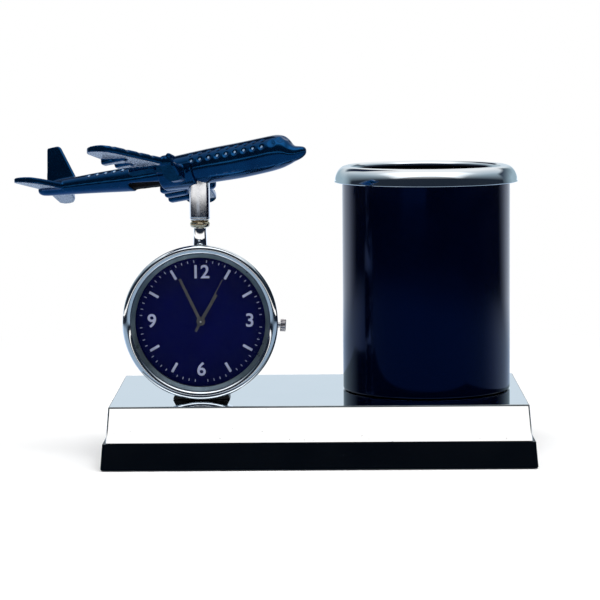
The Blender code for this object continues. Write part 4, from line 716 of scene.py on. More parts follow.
def tumbler_nut():
    """Hexagon nut with chamfered corners, its washer and the threaded end of the bolt."""
    bpy.ops.object.select_all(action="DESELECT")
    corner_radius, height, middle = 0.003175, 0.0024, 0.03115
    bpy.ops.mesh.primitive_cylinder_add(vertices=6, radius=corner_radius, depth=height,
                                        location=(CUP_X, CUP_Y, middle))
    nut = named_new("tumbler_nut")
    bpy.ops.object.transform_apply(location=True, rotation=True, scale=True)
    profile = [(0, 0.0299), (0.0024, 0.0299), (0.0033, 0.0304), (0.0033, 0.0319), (0.0024, 0.0324), (0, 0.0324)]
    cut(nut, turned("nut_chamfer", profile, CUP, SMALL_ROUND), "INTERSECT")
    cut(nut, rod("nut_thread", 0.00155, 0.0040, Matrix.Translation((CUP_X, CUP_Y, 0.0290))))
    finished(nut, "steel", "base", ["cup_nut"])
    rim, bottom, top = 0.0045, 0.02915, 0.02965
    washer = ring("tumbler_washer", [(BOLT_HOLE, bottom, 0.0001), (rim, bottom, 0.0001), (rim, top, 0.00015),
                                     (BOLT_HOLE, top, 0.0001)], CUP, 64)
    finished(washer, "steel", "base", ["cup_washer"])
    shank, thread_root, thread_pitch, thread_foot, thread_end = 0.00150, 0.00132, 0.0005, 0.0290, 0.0324
    profile = [(0, 0.0016), (0.0024, 0.0016), (0.0028, 0.0020), (0.0028, 0.0034), (shank, 0.0034),
               (shank, thread_foot)]
    level = thread_foot
    while level < thread_end:
        profile += [(shank, level), (thread_root, level + thread_pitch / 2)]
        level += thread_pitch
    profile += [(0.0013, 0.0328), (0.0011, 0.03295), (0, 0.03295)]
    bolt = turned("tumbler_bolt", profile, CUP, HOLE_ROUND)
    finished(bolt, "steel", "base", ["cup_bolt"])


def saddle_foot():
    """Black saddle foot, hollowed to the clock case."""
    middle, height = 0.03125, 0.0066
    piece = block("saddle_foot", (0.0250, 0.0105, height), (*POST_PLACE[:2], middle), 0.0006)
    edit(piece)
    pick_faces(piece, lambda at, facing: facing.z > 0.9)
    bpy.ops.transform.resize(value=(0.78, 1, 1), center_override=(*POST_PLACE[:2], middle + height / 2))
    leave()
    hollow = Matrix.Translation((CLOCK_PLACE[0], -0.0300, CLOCK_PLACE[2])) @ REARWARD
    cut(piece, rod("foot_hollow", 0.0329, 0.0150, hollow, SPIN_STEPS))
    cut(piece, rod("foot_bolt_hole", BOLT_HOLE, 0.0300, Matrix.Translation((*POST_PLACE[:2], 0.0250)), HOLE_ROUND))
    ease(piece, 0.00025, 3, 45)
    finished(piece, "black_plastic", "base", ["clock_foot"])


# ---------------------------------------------------------------- clock


def bezel():
    """Half-round bright ring with a skirt into the case."""
    roll_middle, roll, lip, skirt_inner, skirt_outer, skirt_end = 0.03205, 0.00195, 0.03030, 0.0311, 0.0317, 0.0030
    profile = arc(roll_middle, 0, roll, 62, -158, 30)
    profile += [(lip, 0.0001), (lip, 0.0006), (skirt_inner, 0.0006), (skirt_inner, skirt_end),
                (skirt_outer, skirt_end), (skirt_outer, 0.0022), (0.03290, 0.0022)]
    piece = turned("bright_bezel", profile + profile[:1], CLOCK, LARGE_ROUND)
    finished(piece, "chrome", "base", ["clock_bezel"])


def flange():
    """Sloped blue-grey flange between the bezel and the crystal."""
    outer, inner, front, back = 0.03028, 0.02845, -0.0008, 0.0007
    piece = ring("sloped_flange", [(outer, front, 0), (outer, back, 0), (inner, back, 0), (inner, 0.0005, 0.0001),
                                   (0.03010, front, 0.0001)], CLOCK, LARGE_ROUND)
    finished(piece, "flange_grey", "base")


def case():
    """Bright case ring with its bores and rear rebate."""
    outer, rebate, rear_rebate, bore = 0.0326, 0.03175, 0.0304, 0.0293
    front, ledge, rear_ledge, back = 0.0025, 0.00615, 0.0128, 0.0140
    profile = eased([
        (rebate, front, 0.0002), (outer, front, 0.0003), (outer, back, 0.0008), (rear_rebate, back, 0.0002),
        (rear_rebate, rear_ledge, 0), (bore, rear_ledge, 0.0002), (bore, ledge, 0.0002), (rebate, ledge, 0)])
    piece = turned("bright_case", profile + profile[:1], CLOCK, LARGE_ROUND)
    side = WORKS @ Matrix.Translation((0.0280, 0, STEM_DEPTH)) @ RIGHTWARD
    cut(piece, rod("stem_hole", 0.00135, 0.0060, side))
    cut(piece, rod("spigot_hole", 0.0015, 0.0060, POST @ Matrix.Translation((0, 0, 0.0905))))
    cut(piece, rod("case_bolt_hole", 0.00155, 0.0060, POST @ Matrix.Translation((0, 0, 0.0275))))
    finished(piece, "chrome", "base", ["clock_case"])


def glazing():
    """Crystal with a polished edge, its gasket and the black ring behind it."""
    edge, front, back = 0.0300, 0.0009, 0.0024
    profile = eased([(0, front, 0), (edge, front, 0.0004), (edge, back, 0.0001), (0, back, 0)])
    crystal = turned("clear_crystal", profile, CLOCK, WIDE_ROUND)
    finished(crystal, "crystal", "base", ["crystal"])
    outer, inner, gasket_back = 0.0310, 0.0301, 0.0022
    gasket = ring("rubber_gasket", [(inner, front, 0.0002), (outer, front, 0.0002), (outer, gasket_back, 0.0002),
                                    (inner, gasket_back, 0.0002)], CLOCK)
    finished(gasket, "rubber", "base", ["crystal_gasket"])
    opening, front, back = 0.0288, 0.0027, 0.00515
    spacer = ring("black_spacer", [(opening, front, 0.0003), (outer, front, 0), (outer, back, 0),
                                   (opening, back, 0)], CLOCK)
    finished(spacer, "black_plastic", "base", ["dial_spacer"])


def dial():
    """Navy dial disc with a fine step at its edge."""
    hole, edge, front, back = 0.00135, 0.03135, 0.00545, 0.00585
    piece = ring("navy_dial", [(hole, front, 0.00005), (edge, front, 0.0001), (edge, back, 0), (hole, back, 0)],
                 CLOCK)
    finished(piece, "dial_navy", "base", ["dial"])


def dial_marks():
    """Printed batons at eight hours and a fine minute track."""
    marks = []
    ink = 0.00004
    for minute in range(60):
        hour = minute % 5 == 0
        if minute % 15 == 0:
            continue
        width, length, reach = (0.0011, 0.0046, 0.0236) if hour else (0.00028, 0.0011, 0.0264)
        mark = block("mark", (width, length, ink), (0, 0, 0))
        if hour:
            ease(mark, 0.00018, 3)
        turn = Matrix.Rotation(math.radians(6 * minute), 4, "Z")
        settle(mark, CLOCK @ turn @ Matrix.Translation((0, -reach, DIAL_FACE)))
        marks.append(mark)
    finished(joined("dial_marks", marks), "dial_ink", "base")


def dial_figures():
    """Printed figures at the four quarters."""
    figures = []
    for minute, text in ((0, "12"), (15, "3"), (30, "6"), (45, "9")):
        bpy.ops.object.select_all(action="DESELECT")
        bpy.ops.object.text_add()
        figure = bpy.context.object
        figure.data.body = text
        figure.data.size = 0.0082
        figure.data.align_x = "CENTER"
        figure.data.align_y = "CENTER"
        figure.data.extrude = 0.00002
        figure.data.offset = 0.00012
        figure.data.resolution_u = 8
        bpy.ops.object.convert(target="MESH")
        reach = Matrix.Rotation(math.radians(6 * minute), 4, "Z") @ Vector((0, -0.0215, 0))
        upright = Matrix.Rotation(math.radians(180), 4, "X")
        settle(figure, CLOCK @ Matrix.Translation((reach.x, reach.y, DIAL_FACE)) @ upright)
        figures.append(figure)
    finished(joined("dial_figures", figures), "dial_ink", "base")


def hand(name, node, body, sizes, turn):
    """A stamped hand: domed hub, flat blade with a rounded tip and a tail where asked."""
    length, width, thickness, front, hub, bore, tail = sizes
    piece = ring(name, [(bore, front, 0), (hub, front, thickness / 2), (hub, front + thickness, 0),
                        (bore, front + thickness, 0)], steps=SMALL_ROUND)
    start, middle = (hub + bore) / 2, front + thickness / 2
    blade = block("blade", (width, length - start, thickness), (0, -(length + start) / 2, middle))
    edit(blade)
    pick_faces(blade, lambda at, facing: facing.y < -0.9)
    bpy.ops.transform.resize(value=(0.8, 1, 1), center_override=(0, -length, front))
    leave()
    ease(blade, min(width, thickness) / 3, 3)
    cut(piece, blade, "UNION")
    if tail:
        counter = block("counter", (width * 2.2, tail - start, thickness), (0, (tail + start) / 2, middle))
        ease(counter, thickness / 3, 2)
        cut(piece, counter, "UNION")
    settle(piece, CLOCK @ Matrix.Rotation(math.radians(turn), 4, "Z"))
    finished(piece, "hand_grey", body, [node])


def hands():
    """The three hands at their time, by length, width, thickness, front, hub, bore and tail."""
    hand("hour_pointer", "hour_hand", "hour_work",
         (0.0136, 0.0015, 0.0003, 0.00435, 0.0019, 0.00125, 0), 30.8)
    hand("minute_pointer", "minute_hand", "minute_work",
         (0.0209, 0.0014, 0.0003, 0.00365, 0.00165, 0.00085, 0), -25.6)
    hand("second_pointer", "second_hand", "second_work",
         (0.0209, 0.0005, 0.0002, 0.00305, 0.0011, 0.00045, 0.0049), 27.7)


def crown():
    """Fluted crown with a domed end, on its stem."""
    bpy.ops.object.select_all(action="DESELECT")
    radius, length, middle = 0.0027, 0.0022, 0.0360
    bpy.ops.mesh.primitive_cylinder_add(vertices=72, radius=radius, depth=length, location=(0, 0, middle))
    piece = named_new("fluted_crown")
    bpy.ops.object.transform_apply(location=True, rotation=True, scale=True)
    edit(piece)
    pick_points(piece, lambda at: round(math.degrees(math.atan2(at.y, at.x)) / 5) % 4 == 0)
    bpy.ops.transform.resize(value=(0.90, 0.90, 1), center_override=(0, 0, middle))
    pick_faces(piece, lambda at, facing: facing.z > 0.9)
    bpy.ops.mesh.inset(thickness=0.0003, depth=0.0002)
    bpy.ops.mesh.inset(thickness=0.0006, depth=0.00005)
    leave()
    cut(piece, rod("crown_thread", 0.00065, 0.0021, Matrix.Translation((0, 0, 0.0339))))
    ease(piece, 0.00012, 2, 40)
    settle(piece, CROWN)
    finished(piece, "crown_steel", "crown_group", ["crown"])
    shank, flange_radius, boss = 0.0006, 0.0010, 0.0013
    profile = [(0, 0.0035), (flange_radius, 0.0035), (flange_radius, 0.0043), (shank, 0.0043), (shank, 0.0050),
               (flange_radius, 0.0050), (flange_radius, 0.0058), (shank, 0.0058), (shank, 0.0283), (boss, 0.0283),
               (boss, 0.0345), (0.0012, 0.0346), (shank, 0.0346), (shank, 0.0357), (0, 0.0357)]
    stem = turned("crown_stem", profile, CROWN, SMALL_ROUND)
    finished(stem, "steel", "crown_group", ["winding_stem"])


def snap_back():
    """Snap-in back: domed face with a turned step, plug rim and pry notch."""
    plug_inner, plug_outer, rim = 0.0282, 0.0292, 0.0303
    plug_end, seat, rim_back, dome = 0.01125, 0.0131, 0.0140, 0.0146
    profile = eased([
        (0, seat, 0), (plug_inner, seat, 0), (plug_inner, plug_end, 0.0002), (plug_outer, plug_end, 0.0002),
        (plug_outer, seat, 0), (rim, seat, 0.0001), (rim, rim_back, 0.0003), (0.0297, rim_back, 0),
        (0.0279, dome, 0.0006), (0.0240, dome, 0), (0.0239, 0.0145, 0), (0.0234, 0.0145, 0), (0.0233, dome, 0),
        (0, dome, 0)])
    piece = turned("snap_back", profile, CLOCK, LARGE_ROUND)
    notch = CLOCK @ Matrix.Translation((0, rim, 0.0121))
    cut(piece, rod("pry_notch", 0.0012, 0.0030, notch, HOLE_ROUND))
    finished(piece, "spun_steel", "case_back", ["back_cover"])


# ---------------------------------------------------------------- post and sleeve


def post():
    """Tapered bright post with its grooved journal."""
    spigot, foot, neck, journal, groove = 0.00145, 0.00306, 0.00276, 0.0019, 0.0013
    bottom, shoulder, seat, top = 0.09245, 0.09485, 0.10275, 0.11995
    profile = eased([
        (0, bottom, 0), (spigot, bottom, 0.0002), (spigot, shoulder, 0), (foot, shoulder, 0.0001),
        (neck, seat, 0.0002), (journal, seat, 0), (journal, 0.11085, 0), (groove, 0.11085, 0),
        (groove, 0.11245, 0), (journal, 0.11245, 0), (journal, top, 0.0004), (0, top, 0)])
    piece = turned("tapered_post", profile, POST, MEDIUM_ROUND)
    finished(piece, "chrome", "base", ["neck_post"])


def collar():
    """Brass-coloured ring with a round belly and a small upper lip."""
    belly = [(0.00330 + 0.00105 * math.cos(math.radians(turn)), 0.10440 + 0.00130 * math.sin(math.radians(turn)))
             for turn in range(-90, 91, 12)]
    bore, top = 0.00195, 0.10635
    profile = [(bore, 0.10310), *belly, (0.00385, 0.10580), (0.00405, 0.10600), (0.00405, 0.10625), (0.00390, top),
               (bore, top)]
    piece = turned("brass_ring", profile + profile[:1], POST, MEDIUM_ROUND)
    finished(piece, "brass", "base", ["brass_collar"])


def sleeve():
    """Bright sleeve that turns on the post, with a fine ring at its foot."""
    bore, outer, foot, bore_end, top = 0.00195, 0.00445, 0.10665, 0.12205, 0.12505
    profile = eased([
        (bore, foot, 0), (0.00435, foot, 0.0002), (outer, 0.10700, 0.0001), (outer, 0.10740, 0.0001),
        (0.00437, 0.10752, 0.0001), (outer, 0.10770, 0.0001), (outer, top, 0.0003), (SCREW_HOLE, top, 0),
        (SCREW_HOLE, bore_end, 0), (bore, bore_end, 0)])
    piece = turned("bright_sleeve", profile + profile[:1], POST)
    side = POST @ Matrix.Translation((0, 0.0010, 0.11165)) @ REARWARD
    cut(piece, rod("grub_hole", SCREW_HOLE, 0.0045, side, HOLE_ROUND))
    finished(piece, "pitted_chrome", "airliner", ["swivel_sleeve"])


# ---------------------------------------------------------------- airliner

FUSELAGE_RADIUS = 0.0077
NOSE_REACH = 0.0518

# Stations from nose to tail: place as a share of the nose's reach, top and bottom as shares of the radius
STATIONS = [
    (1.000, -0.06, -0.30), (0.985, 0.04, -0.44), (0.950, 0.11, -0.58), (0.910, 0.18, -0.66), (0.880, 0.36, -0.70),
    (0.850, 0.65, -0.76), (0.815, 0.86, -0.82), (0.765, 0.97, -0.90), (0.710, 0.99, -0.95), (0.620, 0.98, -1.00),
    (0.390, 0.95, -1.05), (0.170, 0.95, -1.02), (-0.158, 0.89, -0.93), (-0.602, 0.77, -0.71),
    (-0.966, 0.79, -0.42), (-1.219, 0.79, -0.22), (-1.377, 0.77, -0.11), (-1.520, 0.69, 0.01),
    (-1.567, 0.60, 0.12), (-1.583, 0.48, 0.24)]


def fuselage_rows(steps=4):
    """Place, top and bottom of the body along its length, faired between the stations."""
    rows = [Vector((share * NOSE_REACH, top * FUSELAGE_RADIUS, bottom * FUSELAGE_RADIUS))
            for share, top, bottom in STATIONS]
    padded = [rows[0] * 2 - rows[1]] + rows + [rows[-1] * 2 - rows[-2]]
    faired = []
    for before, start, end, after in zip(padded, padded[1:], padded[2:], padded[3:]):
        for step in range(steps):
            t = step / steps
            faired.append(0.5 * (2 * start + (end - before) * t
                                 + (2 * before - 5 * start + 4 * end - after) * t * t
                                 + (3 * start - before - 3 * end + after) * t ** 3))
    return faired + [rows[-1]]


def skin_row(along):
    """Place, top and bottom of the body at one place."""
    rows = fuselage_rows()
    for front, rear in zip(rows, rows[1:]):
        if rear[0] <= along <= front[0]:
            return front.lerp(rear, (front[0] - along) / (front[0] - rear[0]))
    return rows[-1]


def body_tube(name, rows, swell=0.0, sides=64):
    """Extrude and resize a disc along the body."""
    middles = [(row[0], (row[1] + row[2]) / 2, (row[1] - row[2]) / 2 + swell) for row in rows]
    along, height, radius = middles[0]
    bpy.ops.object.select_all(action="DESELECT")
    bpy.ops.mesh.primitive_circle_add(vertices=sides, radius=radius, fill_type="NGON",
                                      location=(along, 0, height), rotation=(0, math.radians(90), 0))
    piece = named_new(name)
    bpy.ops.object.transform_apply(location=True, rotation=True, scale=True)
    bpy.ops.object.mode_set(mode="EDIT")
    bpy.ops.mesh.select_all(action="SELECT")
    for (x0, z0, r0), (x1, z1, r1) in zip(middles, middles[1:]):
        bpy.ops.mesh.extrude_region_move(TRANSFORM_OT_translate={"value": (x1 - x0, 0, z1 - z0)})
        bpy.ops.transform.resize(value=(1, r1 / r0, r1 / r0), center_override=(x1, 0, z1))
    bpy.ops.mesh.select_all(action="SELECT")
    bpy.ops.mesh.normals_make_consistent(inside=False)
    leave()
    return piece


def panel(name, root, tip, depths, corner, rise, upright=False, rear_corner=0.0, roundness=0.32):
    """A wing or tail panel: swept, thick in front, thin behind, with rounded tip corners."""
    (root_out, root_front, root_rear), (tip_out, tip_front, tip_rear) = root, tip
    front_depth, rear_depth = depths
    bpy.ops.object.select_all(action="DESELECT")
    bpy.ops.mesh.primitive_cube_add(size=2, location=(0, 0, 0))
    piece = named_new(name)
    edit(piece)
    places = ((1, -1, root_front, root_out, front_depth, 0),
              (-1, -1, root_rear, root_out, rear_depth, rise),
              (1, 1, tip_front, tip_out, front_depth, 0),
              (-1, 1, tip_rear, tip_out, rear_depth, rise))
    for ahead, outward, along, out, depth, lift in places:
        pick_points(piece, lambda at: at.x * ahead > 0.5 and at.y * outward > 0.5)
        bpy.ops.transform.resize(value=(1, 1, depth / 2), center_override=(ahead, outward, 0))
        bpy.ops.transform.translate(value=(along - ahead, out - outward, lift))
    for along, width in ((tip_rear, rear_corner), (tip_front, corner)):
        if width:
            pick_points(piece, lambda at: abs(at.x - along) < 0.0001 and abs(at.y - tip_out) < 0.0001)
            bpy.ops.mesh.select_mode(type="EDGE")
            bpy.ops.mesh.bevel(offset=width, segments=6, affect="EDGES")
    rear_limit = max(root_rear, tip_rear) + 0.0005 + rear_corner
    pick_edges(piece, lambda a, b: (a - b).to_2d().length > 0.00001 and min(a.x, b.x) > rear_limit
               and max(a.y, b.y) > root_out + 0.0001)
    bpy.ops.mesh.bevel(offset=front_depth * roundness, segments=4, affect="EDGES", clamp_overlap=False)
    leave()
    if upright:
        settle(piece, Matrix.Rotation(math.radians(90), 4, "X"))
    return piece


def mirrored(piece):
    """Give a piece its twin on the other side of the body."""
    add_modifier(piece, "MIRROR", use_axis=(False, True, False), use_clip=False, merge_threshold=0.00001)
    face_out(piece)
    return piece


def cast(piece, grid, passes):
    """Fuse the joined shapes into one skin and soften it as thick paint does."""
    add_modifier(piece, "REMESH", mode="VOXEL", voxel_size=grid, adaptivity=0.0)
    add_modifier(piece, "SMOOTH", factor=0.5, iterations=passes)


def socket(piece):
    """Cut the round socket for the sleeve and the hole for its screw."""
    home = PLANE.inverted() @ POST
    cut(piece, rod("sleeve_socket", 0.00475, 0.0184, home @ Matrix.Translation((0, 0, 0.10695)), MEDIUM_ROUND))
    cut(piece, rod("screw_socket", SCREW_HOLE, 0.0080, home @ Matrix.Translation((0, 0, 0.1204)), HOLE_ROUND))


def press_dents(piece, dents):
    """Press soft dents of (place, radius, depth) into a skin, along its own normals."""
    for point in piece.data.vertices:
        push = 0.0
        for place, radius, depth in dents:
            away = (point.co - place).length / radius
            if away < 1:
                push += depth * (1 - away * away) ** 2
        if push:
            point.co -= point.normal * push


def skin_point(along, degrees, side):
    """A point of the body's skin, by its angle from the top."""
    _, top, bottom = skin_row(along)
    radius = (top - bottom) / 2
    turn = math.radians(degrees)
    return Vector((along, side * radius * math.sin(turn), (top + bottom) / 2 + radius * math.cos(turn)))


def window_dents():
    """Rows of cabin window dents ahead of the wing and behind it, an upper row, and the windscreen's panes."""
    ahead, behind = ([first + pitch * number for number in range(count)]
                     for first, pitch, count in (WINDOWS_AHEAD, WINDOWS_BEHIND))
    upper = [along / 1000 for along in (-1.0, 3.5, 8.2, 12.7, 17.2, 21.6, 26.0, 30.0, 34.2)]
    dents = []
    for side in (-1, 1):
        for row, degrees, radius, depth in ((ahead, 80, 0.0016, 0.00064), (upper, 54, 0.0013, 0.00035),
                                            (behind, 52, 0.0013, 0.00050)):
            dents += [(skin_point(along, degrees, side), radius, depth) for along in row]
        for along, degrees in ((0.0434, 26), (0.0422, 58), (0.0390, 74)):
            dents.append((skin_point(along, degrees, side), 0.0022, 0.00045))
    return dents


def belly_hollow(piece):
    """Cut away the belly behind the saddle, down to a thin web."""
    side_tilt, web_tilt = (Matrix.Rotation(math.radians(degrees), 4, "Y") for degrees in (6.5, 3.4))
    for side in (-1, 1):
        cutter = block("belly_side", (0.0190, 0.0100, 0.0060), (0, side * 0.0070, -0.0030))
        ease(cutter, 0.0010, 3)
        settle(cutter, Matrix.Translation((-0.0242, 0, -0.0037)) @ side_tilt)
        cut(piece, cutter)
    web = block("belly_web", (0.0180, 0.0140, 0.0030), (0, 0, -0.0015))
    settle(web, Matrix.Translation((-0.0240, 0, -0.0049)) @ web_tilt)
    cut(piece, web)


def paint_faces(piece, finish, wanted, home=PLANE.inverted()):
    """Give another finish to the faces whose place and normal, in the airliner's own frame, are wanted."""
    piece.data.materials.append(FINISHES[finish])
    turn = home.to_3x3()
    edit(piece)
    pick_faces(piece, lambda at, facing: wanted(home @ at, turn @ facing))
    piece.active_material_index = len(piece.data.materials) - 1
    bpy.ops.object.material_slot_assign()
    leave()


def in_belly_hollow(at):
    """Whether a place lies inside the hollow of the belly."""
    if not -0.0340 < at.x < -0.0150 or at.z > -0.0022:
        return False
    _, top, bottom = skin_row(at.x)
    return math.hypot(at.y, at.z - (top + bottom) / 2) < (top - bottom) / 2 - 0.0004


def fuselage():
    """Cast body with its fin and tail planes, window dents and windscreen."""
    body = body_tube("body_shape", fuselage_rows())
    belly_hollow(body)
    tail = panel("tail_shape", root=(0.0010, -0.0666, -0.0782), tip=(0.0210, -0.0745, -0.0836),
                 depths=(0.0032, 0.0018), corner=0.0078, rise=0.0007, rear_corner=0.0030)
    settle(tail, Matrix.Translation((0, 0, 0.0022)))
    tail = mirrored(tail)
    fin = panel("fin_shape", root=(0.0022, -0.0608, -0.0778), tip=(0.0220, -0.0707, -0.0772),
                depths=(0.0018, 0.0012), corner=0.0012, rise=0, upright=True, roundness=0.16)
    piece = joined("cast_fuselage", [body, tail, fin])
    cast(piece, grid=0.00033, passes=6)
    press_dents(piece, window_dents())
    socket(piece)
    settle(piece, PLANE)
    finished(piece, "airliner_blue", "airliner", ["fuselage"], angle=50)
    # Painted reflection: pale undersides of the tail planes
    paint_faces(piece, "painted_pale_underside",
                lambda at, facing: at.x < -0.0660 and abs(at.y) > 0.0070 and facing.z < -0.85)
    # Painted shade: dead black inside the belly hollow
    paint_faces(piece, "painted_shade_black", lambda at, facing: in_belly_hollow(at))


WING_TOP = 0.00033
WING_DEPTH = 0.0035
INNER_REAR_DEPTH = 0.0010
OUTER_REAR_DEPTH = 0.0018
NEAR_SPAN = 0.0522
FAR_SPAN = 0.0472
KINK_OUT = 0.0185
FRONT_AT_KINK = -0.0049
SWEEP = 0.36


def wing_front(out):
    """The wing's front edge, by the way out from the body's middle."""
    return FRONT_AT_KINK - SWEEP * max(0, out - KINK_OUT)


def rounded_block(name, size, middle, width):
    """A block rounded heavily on all its edges."""
    piece = block(name, size, middle)
    ease(piece, width, 4)
    return piece


def wing(side, span, corner, rear_corner, pods):
    """One swept wing with its pods, its fairing, and the lump and lip at its inner front edge."""
    inner = panel("inner_shape", root=(0.0015, -0.0052, -0.0240), tip=(0.0205, -0.0052, -0.0250),
                  depths=(WING_DEPTH, INNER_REAR_DEPTH), corner=0, rise=(WING_DEPTH - INNER_REAR_DEPTH) / 2)
    outer = panel("outer_shape", root=(0.0180, -0.0048, -0.0252), tip=(span, wing_front(span), -0.0288),
                  depths=(WING_DEPTH, OUTER_REAR_DEPTH), corner=corner, rise=(WING_DEPTH - OUTER_REAR_DEPTH) / 2,
                  rear_corner=rear_corner)
    wing_shapes = [inner, outer]
    for shape in wing_shapes:
        settle(shape, Matrix.Translation((0, 0, WING_TOP - WING_DEPTH / 2)))
    for along, out, length, height, low in pods:
        pod = rounded_block("pod_shape", (length, 0.0039, height), (along, out, low + height / 2), 0.0012)
        wing_shapes.append(pod)
    fairing = block("fairing_shape", (0.0080, 0.0180, 0.0070), (-0.0074, 0.0130, -0.0036))
    edit(fairing)
    pick_points(fairing, lambda at: at.y > 0.02 and at.z < -0.006)
    bpy.ops.transform.translate(value=(0, -0.0100, 0))
    leave()
    ease(fairing, 0.0026, 4)
    wing_shapes.append(fairing)
    wing_shapes.append(rounded_block("lump_shape", (0.0064, 0.0056, 0.0058), (-0.0058, 0.0195, -0.0016), 0.0023))
    wing_shapes.append(rounded_block("lip_shape", (0.0022, 0.0060, 0.0020), (-0.0036, 0.0192, 0.0006), 0.0009))
    shape = joined("wing_shapes", wing_shapes)
    if side < 0:
        settle(shape, Matrix.Diagonal((1, -1, 1, 1)))
        face_out(shape)
    return shape


def edge_scallops(side, span):
    """Soft notches along the upper front edge of a wing."""
    return [(Vector((wing_front(out), side * out, WING_TOP)), 0.0017, 0.0006)
            for out in (0.0475, 0.0403, 0.0335, 0.0270) if out < span - 0.002]


def wing_casting():
    """Cast wings with the belly saddle that clasps the body."""
    saddle_front, saddle_rear = -0.0002, -0.0172
    rows = [row for row in fuselage_rows() if saddle_rear < row[0] < saddle_front]
    saddle = body_tube("saddle_shape", [skin_row(saddle_front), *rows, skin_row(saddle_rear)], 0.0011)
    cut(saddle, block("saddle_lid", (0.1000, 0.0400, 0.0200), (0, 0, 0.0106)))
    # Each pod by its place along and out, its length, height and lowest level
    near_pods = ((-0.0177, 0.0192, 0.0128, 0.0042, -0.0048), (-0.0218, 0.0278, 0.0084, 0.0032, -0.0034),
                 (-0.0215, 0.0368, 0.0120, 0.0040, -0.0040))
    far_pods = ((-0.0210, 0.0145, 0.0128, 0.0040, -0.0042), (-0.0232, 0.0210, 0.0110, 0.0036, -0.0044),
                (-0.0255, 0.0285, 0.0110, 0.0036, -0.0044))
    near = wing(-1, NEAR_SPAN, 0.0062, 0.0060, near_pods)
    far = wing(1, FAR_SPAN, 0.0100, 0.0, far_pods)
    piece = joined("cast_wings", [saddle, near, far])
    cast(piece, grid=0.00029, passes=5)
    press_dents(piece, edge_scallops(-1, NEAR_SPAN) + edge_scallops(1, FAR_SPAN))
    cut(piece, body_tube("saddle_core", fuselage_rows(), 0.00005))
    socket(piece)
    settle(piece, PLANE)
    finished(piece, "airliner_blue", "airliner", ["wing_casting"], angle=50)
    # Painted reflection: pale undersides of the wings, outboard of the root
    paint_faces(piece, "painted_pale_underside",
                lambda at, facing: (-0.0600 < at.y < -0.0215 or 0.0090 < at.y < 0.0370)
                and at.z > -0.0040 and facing.z < -0.93)
    # Painted shade: dull navy on down-facing faces under the near wing root and at the far wing tip
    paint_faces(piece, "painted_shade_navy",
                lambda at, facing: (-0.0215 < at.y < -0.0085 or at.y > 0.0370) and facing.z < -0.60)


# ---------------------------------------------------------------- studio


def seen_directly(tree):
    """One for what the camera, a reflection or a clear piece sees."""
    path = tree.nodes.new("ShaderNodeLightPath")
    total = path.outputs["Is Camera Ray"]
    for name in ("Is Glossy Ray", "Is Transmission Ray"):
        total = larger(tree, total, path.outputs[name])
    return total


def in_reflections(tree):
    """One for what a reflection sees."""
    return tree.nodes.new("ShaderNodeLightPath").outputs["Is Glossy Ray"]


def axes(tree, coordinates):
    """The texture coordinates and their three parts."""
    place = tree.nodes.new("ShaderNodeTexCoord").outputs[coordinates]
    split = tree.nodes.new("ShaderNodeSeparateXYZ")
    tree.links.new(place, split.inputs["Vector"])
    return place, *(split.outputs[axis] for axis in "XYZ")


def white_air(tree, strength):
    """White surroundings of one strength."""
    air = tree.nodes.new("ShaderNodeBackground")
    air.inputs["Color"].default_value = (1, 1, 1, 1)
    air.inputs["Strength"].default_value = strength
    return air


def instead(tree, share, first, second):
    """Put the second shader in place of the first by a share."""
    mix = tree.nodes.new("ShaderNodeMixShader")
    for source, socket in ((share, "Fac"), (first.outputs[0], 1), (second.outputs[0], 2)):
        tree.links.new(source, mix.inputs[socket])
    return mix


def studio_air():
    """White surroundings and a low even light; polish mirrors a studio that is dim low in front and at the sides."""
    world = bpy.data.worlds.new("studio_air")
    bpy.context.scene.world = world
    world.use_nodes = True
    tree = world.node_tree
    tree.nodes.clear()
    even, white, room = (white_air(tree, strength) for strength in (0.45, 1.0, 1.0))
    _, across, back, height = axes(tree, "Generated")
    aside = reckon(tree, "ABSOLUTE", across)
    behind = rising(tree, back, 0.35, 0.72)
    overhead = rising(tree, reckon(tree, "ADD", height, reckon(tree, "MULTIPLY", back, 0.45)), 0.34, 0.76)
    low_behind = product(tree, behind, falling(tree, height, 0.15, 0.50))
    ahead = product(tree, falling(tree, back, -0.2, 0.2), falling(tree, height, 0.040, 0.065))
    ceiling = blend(tree, rising(tree, aside, 0.30, 0.80), (1.0, 1.0, 1.0), (0.40, 0.50, 0.57))
    right_panel = product(tree, rising(tree, across, 0.28, 0.36), rising(tree, back, 0.35, 0.45),
                          falling(tree, height, 0.44, 0.52))
    left_panel = product(tree, rising(tree, across, -0.55, -0.47), falling(tree, across, -0.18, -0.12),
                         rising(tree, back, 0.45, 0.55), rising(tree, height, 0.34, 0.42))
    softbox = product(tree, falling(tree, aside, 0.36, 0.66), rising(tree, back, -0.58, -0.46),
                      falling(tree, back, -0.02, 0.16), rising(tree, height, 0.60, 0.66))
    low_wall = blend(tree, rising(tree, aside, 0.14, 0.26), (0.66, 0.76, 0.84), (0.36, 0.48, 0.55))
    shade = blend(tree, larger(tree, overhead, behind), (0.016, 0.023, 0.036), ceiling)
    shade = blend(tree, larger(tree, right_panel, left_panel), shade, (0.010, 0.018, 0.040))
    for zone, colour in ((low_behind, low_wall), (softbox, (1.70, 1.75, 1.80)), (ahead, (1.30, 1.25, 1.20))):
        shade = blend(tree, zone, shade, colour)
    tree.links.new(shade, room.inputs["Color"])
    mirrored_room = instead(tree, in_reflections(tree), white, room)
    seen = instead(tree, seen_directly(tree), even, mirrored_room)
    out = tree.nodes.new("ShaderNodeOutputWorld")
    tree.links.new(seen.outputs[0], out.inputs["Surface"])


